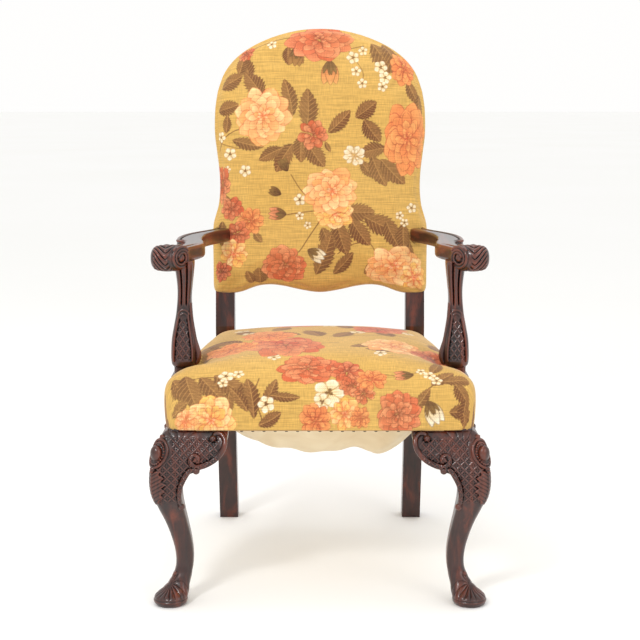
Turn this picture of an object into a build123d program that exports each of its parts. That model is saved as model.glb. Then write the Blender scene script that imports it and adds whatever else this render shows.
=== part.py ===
from build123d import *
import math
import os

# An open armchair: carved front legs, raked rear posts, a stuffed seat on sprung webbing,
# a stuffed back and wooden arms. X runs across the chair, Y from front to back, Z up.
# The origin is on the floor under the middle of the whole chair. "left" and "right" are
# as seen by someone who faces the chair. Every size is in millimetres.

# Driving dimensions of the frame
knee_span = 663.0  # across the knees of the two front legs
leg_height = 352.0  # floor to the underside of the seat rails
rail_height = 88.0
rail_thickness = 32.0
front_width = 588.0  # across the outer faces of the front leg blocks
rear_width = 479.0  # across the rear posts
front_setback = 30.0  # from the front of the knees back to the face of the front rail
seat_depth = 513.0  # from the face of the front rail back to the face of the rear posts
block_side = 52.0  # the square block at the top of a front leg
post_width = 43.0
post_depth = 43.0
foot_rake = 68.0  # how far a rear foot stands behind its post at the seat
tenon_thickness = 10.0
tenon_shoulder = 14.0  # from the edge of a seat rail to its tenon
fit_gap = 0.15  # clearance round a tenon or a screw

# Driving dimensions of the back
back_base = 475.0  # height at which the posts start to lean
back_lean = 9.0  # degrees
back_length = 684.0  # from there to the top of the back, along the lean
back_half_width = 245.5
stile_depth = 32.0  # thickness of the back's frame
frame_inset = 8.0  # the back's frame stays this far inside the outline of the cover
stile_length = 500.0  # along the lean, up to the crest rail
lower_rail_top = 140.0
back_pad = 36.0  # front of the cover before the face of the back's frame

# Driving dimensions of the arms
arm_underside = 670.0
arm_thickness = 31.0
roll_radius = 25.5
roll_width = 71.0
roll_reach = 92.0  # from the front of the knees back to the axis of the roll
support_overhang = 10.0  # the support stands out this far from the seat rail's outer face
support_setback = 136.0  # from the front of the knees back to the middle of the support
foot_block_length = 75.0  # how far the support laps down over the rail
foot_block_width = 56.0
roll_drop = 17.0  # from the top of the arm down to the axis of the roll
neck_inset = 30.6  # from the support's outer face in to the middle of the arm's neck
arm_tenon = 20.0  # side of the square tenon on top of a support

# Driving dimensions of the upholstery
cloth = 1.5
web = 1.6
web_width = 50.0
seat_padding = 10.0  # the cover stands out this far from the front rail
side_padding_front = 2.67  # and from the line of a side rail, at its front end
side_padding_rear = 15.26  # and at its rear end
seat_crown = 500.0  # height of the middle of the seat
dust_sag = 88.0
spring_radius = 30.0
spring_wire = 1.75
spring_turns = 4
tack_edge = 8.0  # straps and hessian stop this far inside the edge of the frame

# Worked out from the sizes above
lean = math.radians(back_lean)
top_reach = back_length * math.sin(lean) + (stile_depth + cloth) * math.cos(lean)
overall_depth = front_setback + seat_depth + max(top_reach, foot_rake + post_depth)
toe_y = -overall_depth / 2
rail_face_y = toe_y + front_setback
post_face_y = rail_face_y + seat_depth
post_rear_y = post_face_y + post_depth
block_rear_y = rail_face_y + block_side
rail_top = leg_height + rail_height
knee_out = knee_span / 2
block_out = front_width / 2
block_in = block_out - block_side
post_out = rear_width / 2
post_in = post_out - post_width
taper = math.atan2(block_out - post_out, post_face_y - block_rear_y)
across = rail_thickness / math.cos(taper)
rear_rail_y = post_rear_y - rail_thickness
back_plane = Plane(
    origin=(0, post_face_y, back_base), x_dir=(1, 0, 0), z_dir=(0, -math.cos(lean), math.sin(lean))
)
webbing_top = leg_height
dust_top = leg_height - 2 * web
arm_top = arm_underside + arm_thickness
support_y = toe_y + support_setback
far = 300.0  # longer than any cut needs to be

os.makedirs("parts", exist_ok=True)


def save(part, label):
    part.label = label
    export_step(part, f"parts/{label}.step")


def save_pair(part, label):
    save(mirror_x(part), f"{label}_left")
    save(part, f"{label}_right")


def mirror_x(part):
    return part.mirror(Plane.YZ)


def rail_outer(y):
    """X of the side rail's outer face at a place along the chair."""
    return block_out - (y - block_rear_y) * math.tan(taper)


def rail_inner(y):
    return rail_outer(y) - across


def mirrored(points):
    """Closes a right-hand outline with its own reflection in the middle of the chair."""
    return points + [(-x, y) for x, y in reversed(points)]


def side_tenon(y_start, y_end, gap=0.0):
    """A tenon on the side rail's centre line, in line with the rail."""
    half = tenon_thickness / 2 / math.cos(taper) + gap
    middle = [rail_outer(y) - across / 2 for y in (y_start, y_end)]
    low = leg_height + tenon_shoulder - gap
    with BuildPart() as tenon:
        with BuildSketch(Plane.XY.offset(low)):
            with BuildLine():
                Polyline(
                    (middle[0] - half, y_start),
                    (middle[0] + half, y_start),
                    (middle[1] + half, y_end),
                    (middle[1] - half, y_end),
                    close=True,
                )
            make_face()
        extrude(amount=rail_height - 2 * tenon_shoulder + 2 * gap)
    return tenon.part


def cross_tenon(x_start, x_end, y_middle, gap=0.0):
    """A tenon that runs across the chair, on the end of the front or rear rail."""
    low = leg_height + tenon_shoulder - gap
    with BuildPart() as tenon:
        with BuildSketch(Plane.XY.offset(low)):
            with Locations(((x_start + x_end) / 2, y_middle)):
                Rectangle(abs(x_end - x_start), tenon_thickness + 2 * gap)
        extrude(amount=rail_height - 2 * tenon_shoulder + 2 * gap)
    return tenon.part


def slanted_cylinder(x, along, start, length, radius):
    """A round bar square to the back's frame, at a place across and along it."""
    with BuildPart() as bar:
        with BuildSketch(back_plane.offset(start)):
            with Locations((x, along)):
                Circle(radius)
        extrude(amount=length)
    return bar.part


# Joint sizes that two pieces share
front_tenon_end = block_in + 28.0
front_tenon_y = rail_face_y + rail_thickness / 2
block_tenon_end = front_tenon_y + tenon_thickness / 2 + 5.0
post_tenon_end = post_face_y + 14.0
rear_tenon_end = post_in + 20.0
rear_tenon_y = rear_rail_y + rail_thickness / 2 + 2.0
screw_radius = 2.4
screw_head = 4.5
head_height = 3.0
arm_screw_bite = 28.0  # how far an arm's screw goes into the arm
arm_screw_x = (post_in + post_out) / 2 + 3.0
arm_screw_along = (arm_underside + arm_thickness / 2 - back_base) / math.cos(lean)
support_screw_heights = (leg_height + 34.0, leg_height + 66.0)

# Front leg: a cabriole leg under a square block. Each section is a rounded square on the
# diagonal of the corner: share of the height, set-in of its outer face, its side, roundness.
leg_sections = [
    (0.0, 4.0, 61.0, 0.49),
    (0.03, 0.0, 69.0, 0.49),
    (0.065, 10.0, 59.0, 0.49),
    (0.1, 27.0, 44.0, 0.48),
    (0.16, 38.0, 38.0, 0.42),
    (0.24, 44.5, 35.0, 0.36),
    (0.36, 39.0, 39.0, 0.3),
    (0.5, 24.0, 45.5, 0.26),
    (0.61, 7.5, 55.0, 0.26),
    (0.7, 0.0, 63.0, 0.26),
    (0.82, 1.0, 78.0, 0.24),
    (0.92, 14.0, 74.0, 0.2),
    (1.0, 30.0, 59.5, 0.12),
]
with BuildPart() as front_leg:
    for share, set_in, side, roundness in leg_sections:
        x_middle = knee_out - set_in - side / 2
        with BuildSketch(Plane.XY.offset(share * leg_height)):
            with Locations((x_middle, toe_y + set_in + side / 2)):
                RectangleRounded(side, side, roundness * side)
    loft()
    with BuildSketch(Plane.XY.offset(leg_height)):
        with Locations((block_out - block_side / 2, rail_face_y + block_side / 2)):
            Rectangle(block_side, block_side)
        fillet(vertices().sort_by(Axis.Y)[:2].sort_by(Axis.X)[-1], radius=14)
    extrude(amount=rail_height)
    add(cross_tenon(block_in, front_tenon_end, front_tenon_y, fit_gap), mode=Mode.SUBTRACT)
    add(side_tenon(block_tenon_end, block_rear_y, fit_gap), mode=Mode.SUBTRACT)
save_pair(front_leg.part, "front_leg")

# Knee brackets: an ear on each side of the knee, glued to the leg and under the rail.
bracket_reach = 118.0  # from the middle of the foot to the tip of the ear
bracket_thickness = 44.0
bracket_drop = leg_height / 4
foot_middle = knee_out - leg_sections[1][2] / 2


def bracket(plane):
    tip = bracket_reach
    low = leg_height - bracket_drop
    with BuildPart() as ear:
        with BuildSketch(plane):
            with BuildLine():
                Line((tip, leg_height), (18, leg_height))
                Line((18, leg_height), (18, low))
                Line((18, low), (32, low))
                Spline(
                    (32, low),
                    (54, low + 9),
                    (86, low + 28),
                    (tip - 8, low + 55),
                    (tip, leg_height),
                    tangents=((1, 0.3), (0.1, 1)),
                )
            make_face()
        extrude(amount=bracket_thickness / 2, both=True)
        add(front_leg.part, mode=Mode.SUBTRACT)
    return ear.part


front_bracket_plane = Plane(
    origin=(foot_middle, rail_face_y + 6, 0), x_dir=(-1, 0, 0), z_dir=(0, 1, 0)
)
side_bracket_plane = Plane(
    origin=(block_out - 2, toe_y + knee_out - foot_middle, 0),
    x_dir=(-math.sin(taper), math.cos(taper), 0),
    z_dir=(math.cos(taper), math.sin(taper), 0),
)
front_bracket = bracket(front_bracket_plane)
side_bracket = bracket(side_bracket_plane)
save_pair(front_bracket, "knee_bracket_front")
save_pair(side_bracket, "knee_bracket_side")

# Front and rear seat rails, tenoned into the leg blocks and the posts.
with BuildPart() as plain_front_rail:
    with BuildSketch(Plane.XY.offset(leg_height)):
        with Locations((0, rail_face_y + rail_thickness / 2)):
            Rectangle(2 * block_in, rail_thickness)
    extrude(amount=rail_height)
    add(cross_tenon(block_in, front_tenon_end - 1, front_tenon_y))
    add(cross_tenon(-block_in, 1 - front_tenon_end, front_tenon_y))

with BuildPart() as seat_rail_rear:
    with BuildSketch(Plane.XY.offset(leg_height)):
        with Locations((0, rear_rail_y + rail_thickness / 2)):
            Rectangle(2 * post_in, rail_thickness)
    extrude(amount=rail_height)
    add(cross_tenon(post_in, rear_tenon_end - 1, rear_tenon_y))
    add(cross_tenon(-post_in, 1 - rear_tenon_end, rear_tenon_y))
save(seat_rail_rear.part, "seat_rail_rear")


def support_screws(radius, head_radius, length):
    """Two screws through the side rail from its inner face into the arm support."""
    bars = []
    for height in support_screw_heights:
        seat = Plane(
            origin=(rail_inner(support_y), support_y, height),
            z_dir=(math.cos(taper), math.sin(taper), 0),
        )
        with BuildPart() as bar:
            with BuildSketch(seat):
                Circle(head_radius)
            extrude(amount=head_height)
            with BuildSketch(seat):
                Circle(radius)
            extrude(amount=length)
        bars.append(bar.part)
    return bars


support_screw_length = rail_thickness + 13.0
screw_holes = support_screws(screw_radius + fit_gap, screw_head + fit_gap, support_screw_length + 1)
with BuildPart() as side_rail:
    with BuildSketch(Plane.XY.offset(leg_height)):
        with BuildLine():
            Polyline(
                (rail_outer(block_rear_y), block_rear_y),
                (rail_outer(post_face_y), post_face_y),
                (rail_inner(post_face_y), post_face_y),
                (rail_inner(block_rear_y), block_rear_y),
                close=True,
            )
        make_face()
    extrude(amount=rail_height)
    add(side_tenon(block_tenon_end + 1, block_rear_y))
    add(side_tenon(post_face_y, post_tenon_end - 1))
    add(screw_holes, mode=Mode.SUBTRACT)
save_pair(side_rail.part, "seat_rail")

# Rear post: raked leg and leaning stile sawn from one plank.
waist_along = 320.0
stile_tenon_width = 18.0
stile_tenon_length = 24.0
stile_tenon_x = (post_in + post_out) / 2 - 3
lower_tenon_along = lower_rail_top - 22
bend_length = 60.0  # along the lean, where the sawn bend of the post runs out


def lean_point(along, behind):
    """Y and Z of a point of the back, along its lean and behind the frame's face."""
    y = post_face_y + along * math.sin(lean) + behind * math.cos(lean)
    return (y, back_base + along * math.cos(lean) - behind * math.sin(lean))


# The outline is drawn for a back of this half width, from this bottom to this top
drawn_half_width = 245.5
drawn_bottom = 80.0
drawn_top = 684.0
drawn_middle = (drawn_bottom + drawn_top) / 2


def half_outline(inset):
    """The back's outline, right half, from the bottom middle up to the top middle."""
    wide = (back_half_width - inset) / drawn_half_width
    middle = (drawn_bottom + back_length) / 2
    tall = (back_length - middle - inset) / (drawn_top - drawn_middle)

    def place(x, along):
        return (x * wide, middle + (along - drawn_middle) * tall)

    bottom = [place(0, drawn_bottom), place(44, 86), place(112, 98), place(160, 89), place(195, 79)]
    corner = place(243, 83)
    side = [
        place(drawn_half_width, 232),
        place(237, 261),
        place(229, waist_along),
        place(236, 400),
        place(241.5, 476),
        place(233, 550),
        place(184, 623),
        place(132, 654),
        place(70, 677),
        place(0, drawn_top),
    ]
    return bottom, corner, side


def both_halves(points):
    """A right-hand edge that ends on the middle line, carried on over its reflection."""
    return points + [(-x, y) for x, y in reversed(points[:-1])]


def back_face(inset, offset_forward, trim=None):
    """The whole outline of the back as a face square to the lean."""
    bottom, corner, side = half_outline(inset)
    underside = both_halves(bottom[::-1])
    with BuildSketch(back_plane.offset(offset_forward)) as face:
        with BuildLine():
            Spline(*underside)
            Spline(*both_halves(side))
            Polyline(underside[0], corner, side[0])
            Polyline(underside[-1], (-corner[0], corner[1]), (-side[0][0], side[0][1]))
        make_face()
        if trim is not None:
            add(trim, mode=Mode.INTERSECT)
    return face.sketch


with BuildPart() as rear_post:
    with BuildSketch(Plane.YZ):
        with BuildLine():
            Line((post_face_y + foot_rake, 0), (post_rear_y + foot_rake, 0))
            Spline(
                (post_rear_y + foot_rake, 0),
                (post_rear_y, leg_height),
                tangents=((-0.22, 1), (-0.05, 1)),
            )
            Polyline(
                (post_rear_y, leg_height),
                (post_rear_y, back_base),
                lean_point(bend_length, stile_depth),
                lean_point(stile_length, stile_depth),
                lean_point(stile_length, 0),
                (post_face_y, back_base),
                (post_face_y, leg_height),
            )
            Spline(
                (post_face_y, leg_height),
                (post_face_y + foot_rake, 0),
                tangents=((0.05, -1), (0.22, -1)),
            )
        make_face()
    extrude(amount=back_half_width)
    outer = half_outline(frame_inset)[2]
    cut_low = -2 * far
    cut_high = stile_length + bend_length
    with BuildSketch(back_plane.offset(-far)):
        with BuildLine():
            Line((post_in, cut_low), (post_out, cut_low))
            Line((post_out, cut_low), (post_out, lower_rail_top + 10))
            Spline((post_out, lower_rail_top + 10), *outer[1:5])
            Line(outer[4], (outer[4][0], cut_high))
            Line((outer[4][0], cut_high), (post_in, cut_high))
            Line((post_in, cut_high), (post_in, cut_low))
        make_face()
    extrude(amount=2 * far, mode=Mode.INTERSECT)
    # tenon up into the crest rail
    with BuildSketch(back_plane.offset(-stile_depth / 2)):
        with Locations((stile_tenon_x, stile_length + stile_tenon_length / 2)):
            Rectangle(stile_tenon_width, stile_tenon_length)
    extrude(amount=tenon_thickness / 2, both=True)
    add(side_tenon(post_face_y, post_tenon_end, fit_gap), mode=Mode.SUBTRACT)
    add(cross_tenon(post_in, rear_tenon_end, rear_tenon_y, fit_gap), mode=Mode.SUBTRACT)
    with BuildSketch(back_plane.offset(-stile_depth / 2)):
        with Locations((post_in + stile_tenon_width / 2, lower_tenon_along)):
            Rectangle(stile_tenon_width + fit_gap, stile_tenon_length + fit_gap)
    extrude(amount=tenon_thickness / 2 + fit_gap, both=True, mode=Mode.SUBTRACT)
    add(
        slanted_cylinder(arm_screw_x, arm_screw_along, -stile_depth, stile_depth, screw_radius + fit_gap),
        mode=Mode.SUBTRACT,
    )
    add(
        slanted_cylinder(arm_screw_x, arm_screw_along, -stile_depth, 4, screw_head + fit_gap),
        mode=Mode.SUBTRACT,
    )
save_pair(rear_post.part, "rear_post")
posts = [rear_post.part, mirror_x(rear_post.part)]

# Crest rail: arched above and below, tenoned on to the posts.
arch_rise = 115.0
with BuildSketch() as crest_trim:
    with Locations((0, stile_length + far / 2)):
        Rectangle(2 * far, far)
    with Locations((0, stile_length)):
        Ellipse(post_in, arch_rise, mode=Mode.SUBTRACT)
with BuildPart() as crest_rail:
    add(back_face(frame_inset, 0, crest_trim.sketch))
    extrude(amount=-stile_depth, dir=back_plane.z_dir)
    with BuildSketch(back_plane.offset(-stile_depth / 2)):
        with Locations(
            (stile_tenon_x, stile_length + stile_tenon_length / 2),
            (-stile_tenon_x, stile_length + stile_tenon_length / 2),
        ):
            Rectangle(stile_tenon_width + 2 * fit_gap, stile_tenon_length + 1)
    extrude(amount=tenon_thickness / 2 + fit_gap, both=True, mode=Mode.SUBTRACT)
save(crest_rail.part, "back_crest_rail")

# Lower back rail: serpentine underside, tenoned between the posts.
with BuildSketch() as lower_trim:
    with Locations((0, lower_rail_top - 100)):
        Rectangle(2 * post_in, 200)
with BuildPart() as lower_rail:
    add(back_face(frame_inset, 0, lower_trim.sketch))
    extrude(amount=-stile_depth, dir=back_plane.z_dir)
    with BuildSketch(back_plane.offset(-stile_depth / 2)):
        tenon_middle = post_in + (stile_tenon_width - 1) / 2
        with Locations((tenon_middle, lower_tenon_along), (-tenon_middle, lower_tenon_along)):
            Rectangle(stile_tenon_width - 1, stile_tenon_length)
    extrude(amount=tenon_thickness / 2, both=True)
save(lower_rail.part, "back_lower_rail")

# Corner blocks: glued into the four inside corners of the seat frame.
block_reach = 70.0
block_height = 40.0
with BuildPart() as corner_blocks:
    with BuildSketch(Plane.XY.offset(rail_top - 8 - block_height)):
        with BuildLine():
            inner_y = rail_face_y + rail_thickness
            Polyline(
                (block_in - block_reach, inner_y),
                (block_in, inner_y),
                (block_in, block_rear_y),
                (rail_inner(block_rear_y), block_rear_y),
                (rail_inner(block_rear_y + block_reach), block_rear_y + block_reach),
                close=True,
            )
        make_face()
        with BuildLine():
            Polyline(
                (rail_inner(post_face_y - block_reach), post_face_y - block_reach),
                (rail_inner(post_face_y), post_face_y),
                (post_in, post_face_y),
                (post_in, rear_rail_y),
                (post_in - block_reach, rear_rail_y),
                close=True,
            )
        make_face()
        mirror(about=Plane.YZ)
    extrude(amount=block_height)
save(corner_blocks.part, "corner_blocks")

# Arm: a flat bowed board that narrows to a neck and ends in a roll that lies across it.
roll_y = toe_y + roll_reach
roll_z = arm_top - roll_drop
support_out = rail_outer(support_y) + support_overhang
neck_x = support_out - neck_inset
arm_end_along = (arm_top - back_base) / math.cos(lean) + 40


def arm_point(share, sideways):
    """A place on the arm's plan: share of the way from the roll to the post, and how far
    out from the straight line between the neck and the inner face of the post."""
    x = neck_x + share * (post_in - neck_x) + sideways
    return (x, roll_y + share * (post_face_y - roll_y))


arm_past_post = post_face_y + 60.0
with BuildPart() as arm:
    with BuildSketch(Plane.XY.offset(arm_underside)):
        with BuildLine():
            inner_edge = Spline(
                (neck_x - 8, roll_y + 4),
                arm_point(0.164, -10.4),
                arm_point(0.273, -10.8),
                arm_point(0.428, 5.2),
                arm_point(0.616, 25.5),
                arm_point(0.734, 33.7),
                arm_point(0.851, 27.0),
                (post_in + 8, post_face_y),
                (post_in + 2, arm_past_post),
            )
            outer_edge = Spline(
                (post_out - 5, arm_past_post),
                (post_out, post_face_y - 10),
                arm_point(0.814, 61.4),
                arm_point(0.692, 73.8),
                arm_point(0.552, 73.9),
                arm_point(0.435, 62.6),
            )
            hook = Spline(outer_edge @ 1, arm_point(0.404, 52.4), arm_point(0.377, 42.6))
            neck = Spline(
                hook @ 1,
                arm_point(0.251, 32.7),
                (neck_x + 25, roll_y + 42),
                (neck_x + 37, roll_y + 4),
            )
            Line(inner_edge @ 1, outer_edge @ 0)
            Line(neck @ 1, inner_edge @ 0)
        make_face()
    extrude(amount=arm_thickness)
    with BuildSketch(Plane.YZ.offset(neck_x - 8)):
        with Locations((roll_y, roll_z)):
            Circle(roll_radius)
    extrude(amount=roll_width)
    # the end lies flat against the leaning face of the post
    with BuildSketch(back_plane.offset(-far)):
        with Locations((post_out, arm_end_along - 60)):
            Rectangle(far, far)
    extrude(amount=far, mode=Mode.SUBTRACT)
    # mortise for the support
    with BuildSketch(Plane.XY.offset(arm_underside)):
        with Locations((neck_x, support_y - 8)):
            Rectangle(arm_tenon + 2 * fit_gap, arm_tenon + 2 * fit_gap)
    extrude(amount=arm_tenon + 2 + fit_gap, mode=Mode.SUBTRACT)
    add(
        slanted_cylinder(arm_screw_x, arm_screw_along, -1, arm_screw_bite + 3, screw_radius + fit_gap),
        mode=Mode.SUBTRACT,
    )
save_pair(arm.part, "arm")
arm_screw_length = stile_depth + arm_screw_bite
arm_screw = slanted_cylinder(
    arm_screw_x, arm_screw_along, -stile_depth, arm_screw_length, screw_radius
)
arm_screw += slanted_cylinder(arm_screw_x, arm_screw_along, -stile_depth, head_height, screw_head)
save(Compound(children=[arm_screw, mirror_x(arm_screw)]), "arm_end_screws")
arm_bore = slanted_cylinder(arm_screw_x, arm_screw_along, -1, arm_screw_bite + 3, screw_radius + 1)
arms = [arm.part, mirror_x(arm.part), arm_bore, mirror_x(arm_bore)]

# Arm support: an S-curved upright that stands on the side rail and laps down its outside.
support_sections = [  # height over the rail, outer face set in, width, front and rear of it
    (0.0, 0.0, 50.0, 31.0, 31.0),
    (30.0, 0.0, 51.0, 31.0, 33.0),
    (60.0, 2.0, 49.0, 29.0, 30.0),
    (124.0, 12.0, 37.0, 16.0, 23.0),
    (175.0, 16.0, 32.0, 22.0, 17.0),
    (arm_underside - rail_top, 11.0, 37.0, 34.0, 14.0),
]
lap_depth = 19.0
block_clearance = rail_thickness / 2
with BuildPart() as arm_support:
    for height, set_in, width, ahead, behind in support_sections:
        with BuildSketch(Plane.XY.offset(rail_top + height)):
            with Locations((support_out - set_in - width / 2, support_y + (behind - ahead) / 2)):
                RectangleRounded(width, ahead + behind, 8)
    loft()
    with BuildSketch(Plane.XY.offset(arm_underside)):
        with Locations((neck_x, support_y - 8)):
            Rectangle(arm_tenon, arm_tenon)
    extrude(amount=arm_tenon + 1)
    with BuildSketch(Plane.XY.offset(rail_top - foot_block_length)):
        with Locations((support_out - lap_depth + head_height, support_y)):
            Rectangle(2 * lap_depth, foot_block_width)
    extrude(amount=foot_block_length + 20)
    add(side_rail.part, mode=Mode.SUBTRACT)
    add(arm.part, mode=Mode.SUBTRACT)
    add(screw_holes, mode=Mode.SUBTRACT)
    with BuildSketch(Plane.XY.offset(rail_top - foot_block_length - 1)):
        with Locations((rail_outer(support_y) - far / 2 - block_clearance, support_y)):
            Rectangle(far, 2 * foot_block_width)
    extrude(amount=foot_block_length + 1, mode=Mode.SUBTRACT)
save_pair(arm_support.part, "arm_support")
supports = [arm_support.part, mirror_x(arm_support.part)]
supports += screw_holes + [mirror_x(bar) for bar in screw_holes]

# Screws that hold the arm supports to the side rails.
screws = support_screws(screw_radius, screw_head, support_screw_length)
save(Compound(children=screws + [mirror_x(bar) for bar in screws]), "arm_support_screws")

# Seat springs stand on the webbing and push the hessian up.
spring_spacing = 140.0
spring_y = (rail_face_y + rear_rail_y + rail_thickness) / 2 + 10
spring_low = webbing_top + spring_wire + 0.2
spring_height = rail_top - 0.2 - spring_wire - spring_low
with BuildPart() as spring:
    with BuildLine(Plane.XY.offset(spring_low)) as coil:
        Helix(spring_height / spring_turns, spring_height, spring_radius)
    with BuildSketch(Plane(origin=coil.line @ 0, z_dir=coil.line % 0)):
        Circle(spring_wire)
    sweep()
with BuildPart() as seat_springs:
    with Locations((0, spring_y)):
        with GridLocations(spring_spacing, spring_spacing, 3, 3):
            add(spring.part)
save(seat_springs.part, "seat_springs")

# Seat webbing: straps under the rails, five from front to back and four across below them.
tack_radius = 3.0
tack_pitch = 22.0
tack_count = 15
with BuildPart() as dust_tacks:
    tack_y = rail_face_y + rail_thickness - 12
    with Locations((0, tack_y, dust_top - cloth)):
        with GridLocations(tack_pitch, 1, tack_count, 1):
            Cylinder(tack_radius, 1, align=(Align.CENTER, Align.CENTER, Align.MAX))
            Cylinder(0.8, 14, align=(Align.CENTER, Align.CENTER, Align.MIN))
save(dust_tacks.part, "dust_cover_tacks")

with BuildPart() as seat_webbing:
    strap_front = rail_face_y + tack_edge
    strap_rear = post_rear_y - tack_edge
    with BuildSketch(Plane.XY.offset(webbing_top - web)):
        with Locations((0, (strap_front + strap_rear) / 2)):
            with GridLocations(spring_spacing / 2, 1, 5, 1):
                Rectangle(web_width, strap_rear - strap_front)
    extrude(amount=web)
    for row in range(-2, 3):
        strap_y = spring_y + 10 + row * spring_spacing / 2
        with BuildSketch(Plane.XY.offset(webbing_top - 2 * web)):
            with Locations((0, strap_y)):
                Rectangle(2 * (rail_outer(strap_y + web_width / 2) - tack_edge), web_width)
        extrude(amount=web)
    add(dust_tacks.part, mode=Mode.SUBTRACT)
save(seat_webbing.part, "seat_webbing")


def frame_plan(inset, z):
    """The seat frame's outline from above, moved in by an inset."""
    with BuildSketch(Plane.XY.offset(z)) as plan:
        with BuildLine():
            Polyline(
                *mirrored(
                    [
                        (block_out - inset, rail_face_y + inset),
                        (block_out - inset, block_rear_y),
                        (post_out - inset, post_face_y),
                        (post_out - inset, post_rear_y - inset),
                    ]
                ),
                close=True,
            )
        make_face()
    return plan.sketch


# Seat hessian: tacked on top of the rails over the springs.
hessian_thickness = 1.2
with BuildPart() as seat_hessian:
    add(frame_plan(tack_edge, rail_top))
    extrude(amount=hessian_thickness)
    for piece in posts + supports:
        add(piece, mode=Mode.SUBTRACT)
save(seat_hessian.part, "seat_hessian")

# The stuffed seat: a cushion that narrows upwards, over and down the outside of the rails.
crown_rise = seat_crown - rail_top
seat_levels = [  # share of the rise above the rails, set-in from the widest
    (0.0, 0.0),
    (0.25, 13.0),
    (0.4, 24.0),
    (0.6, 50.0),
    (0.85, 100.0),
    (1.0, 160.0),
]


cushion_corner = 26.0
notch_side = 200.0


def cushion(inset, drop):
    """The seat's outer form, moved in by an inset on every side, open underneath."""
    side_front = rail_outer(rail_face_y - seat_padding) + side_padding_front
    side_rear = rail_outer(post_rear_y + cloth) + side_padding_rear
    levels = [(leg_height - drop, 0.0)]
    levels += [(rail_top + share * crown_rise - inset, set_in) for share, set_in in seat_levels]
    with BuildPart() as form:
        for z, set_in in levels:
            shift = inset + set_in
            front = rail_face_y - seat_padding + shift
            rear = post_rear_y + cloth - inset - max(0, set_in - 14)
            with BuildSketch(Plane.XY.offset(z)):
                with BuildLine():
                    Polyline(
                        *mirrored(
                            [
                                (side_front - shift, front),
                                (side_rear - shift, rear),
                            ]
                        ),
                        close=True,
                    )
                make_face()
                fillet(vertices().group_by(Axis.Y)[0], radius=cushion_corner)
        loft(ruled=True)
        for side in (-1, 1):
            with BuildSketch(Plane.XY.offset(leg_height - drop - 1)):
                with Locations((side * (post_in + notch_side / 2), post_face_y + notch_side / 2)):
                    Rectangle(notch_side, notch_side)
            extrude(amount=far, mode=Mode.SUBTRACT)
    return form.part


with BuildPart() as seat_stuffing:
    add(cushion(cloth, 0))
    add(frame_plan(0, leg_height - 1))
    extrude(amount=rail_height + hessian_thickness + 1, mode=Mode.SUBTRACT)
    for piece in posts + supports:
        add(piece, mode=Mode.SUBTRACT)
save(seat_stuffing.part, "seat_stuffing")

with BuildPart() as seat_cover:
    add(cushion(0, 0))
    add(cushion(cloth, 1), mode=Mode.SUBTRACT)
    for piece in posts + supports:
        add(piece, mode=Mode.SUBTRACT)
save(seat_cover.part, "seat_cover")

# Dust cover: a loose sheet tacked under the rails that hangs in a shallow bowl.
bowl_levels = [(1.0, 0.0), (0.8, 0.36), (0.6, 0.64), (0.4, 0.84), (0.2, 0.96)]
bowl_front = rail_face_y + rail_thickness + 4
bowl_rear = rear_rail_y - 4
bowl_middle = (bowl_front + bowl_rear) / 2


def bowl(lift):
    """The hanging bowl as a solid, raised by a lift."""
    half = (bowl_rear - bowl_front) / 2
    with BuildPart() as dish:
        for scale, share in bowl_levels:
            front = rail_inner(block_rear_y) - 4
            rear = rail_inner(post_face_y) - 14
            with BuildSketch(Plane.XY.offset(dust_top + lift - share * dust_sag)):
                with BuildLine():
                    Polyline(
                        *mirrored(
                            [
                                (front * scale, bowl_middle - half * scale),
                                (rear * scale, bowl_middle + half * scale),
                            ]
                        ),
                        close=True,
                    )
                make_face()
                fillet(vertices(), radius=100 * scale)
        loft(ruled=True)
    return dish.part


with BuildPart() as dust_cover:
    add(frame_plan(14, dust_top - cloth))
    extrude(amount=cloth)
    add(bowl(0))
    add(bowl(cloth), mode=Mode.SUBTRACT)
    for piece in [front_leg.part, front_bracket, side_bracket]:
        add([piece, mirror_x(piece)], mode=Mode.SUBTRACT)
    add([*posts, dust_tacks.part], mode=Mode.SUBTRACT)
save(dust_cover.part, "dust_cover")

with BuildPart() as front_rail:
    add(plain_front_rail.part)
    add(dust_tacks.part, mode=Mode.SUBTRACT)
save(front_rail.part, "seat_rail_front")

# Back webbing: upright straps on the face of the frame, level ones over them.
back_strap_spacing = 100.0
strap_overlap = 24.0  # how far a strap laps on to the wood it is tacked to
with BuildPart() as back_webbing:
    strap_low = lower_rail_top - strap_overlap
    for column, fall in ((-1, 62), (0, 44), (1, 62)):
        strap_high = back_length - fall
        with BuildSketch(back_plane):
            with Locations((column * back_strap_spacing, (strap_high + strap_low) / 2)):
                Rectangle(web_width, strap_high - strap_low)
        extrude(amount=web)
    for share in (0.08, 0.34, 0.58, 0.83):
        along = lower_rail_top + share * (stile_length - lower_rail_top)
        with BuildSketch(back_plane.offset(web)):
            with Locations((0, along)):
                Rectangle(2 * (post_in + strap_overlap - tack_edge), web_width)
        extrude(amount=web)
save(back_webbing.part, "back_webbing")

with BuildPart() as back_hessian:
    add(back_face(frame_inset + tack_edge, 2 * web))
    extrude(amount=hessian_thickness, dir=back_plane.z_dir)
    for piece in arms:
        add(piece, mode=Mode.SUBTRACT)
save(back_hessian.part, "back_hessian")

# The stuffed back: its outline stands forward of the frame and closes in to a low dome.
back_levels = [(0.45, 0.0), (0.7, 8.0), (0.86, 26.0), (0.95, 60.0), (1.0, 100.0)]


def pad(inset, behind):
    """The back's outer form, moved in by an inset, from behind the frame to the dome."""
    with BuildPart() as form:
        add(back_face(inset, -stile_depth - behind))
        for share, set_in in back_levels:
            add(back_face(inset + set_in, share * back_pad - inset))
        loft(ruled=True)
    return form.part


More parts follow.
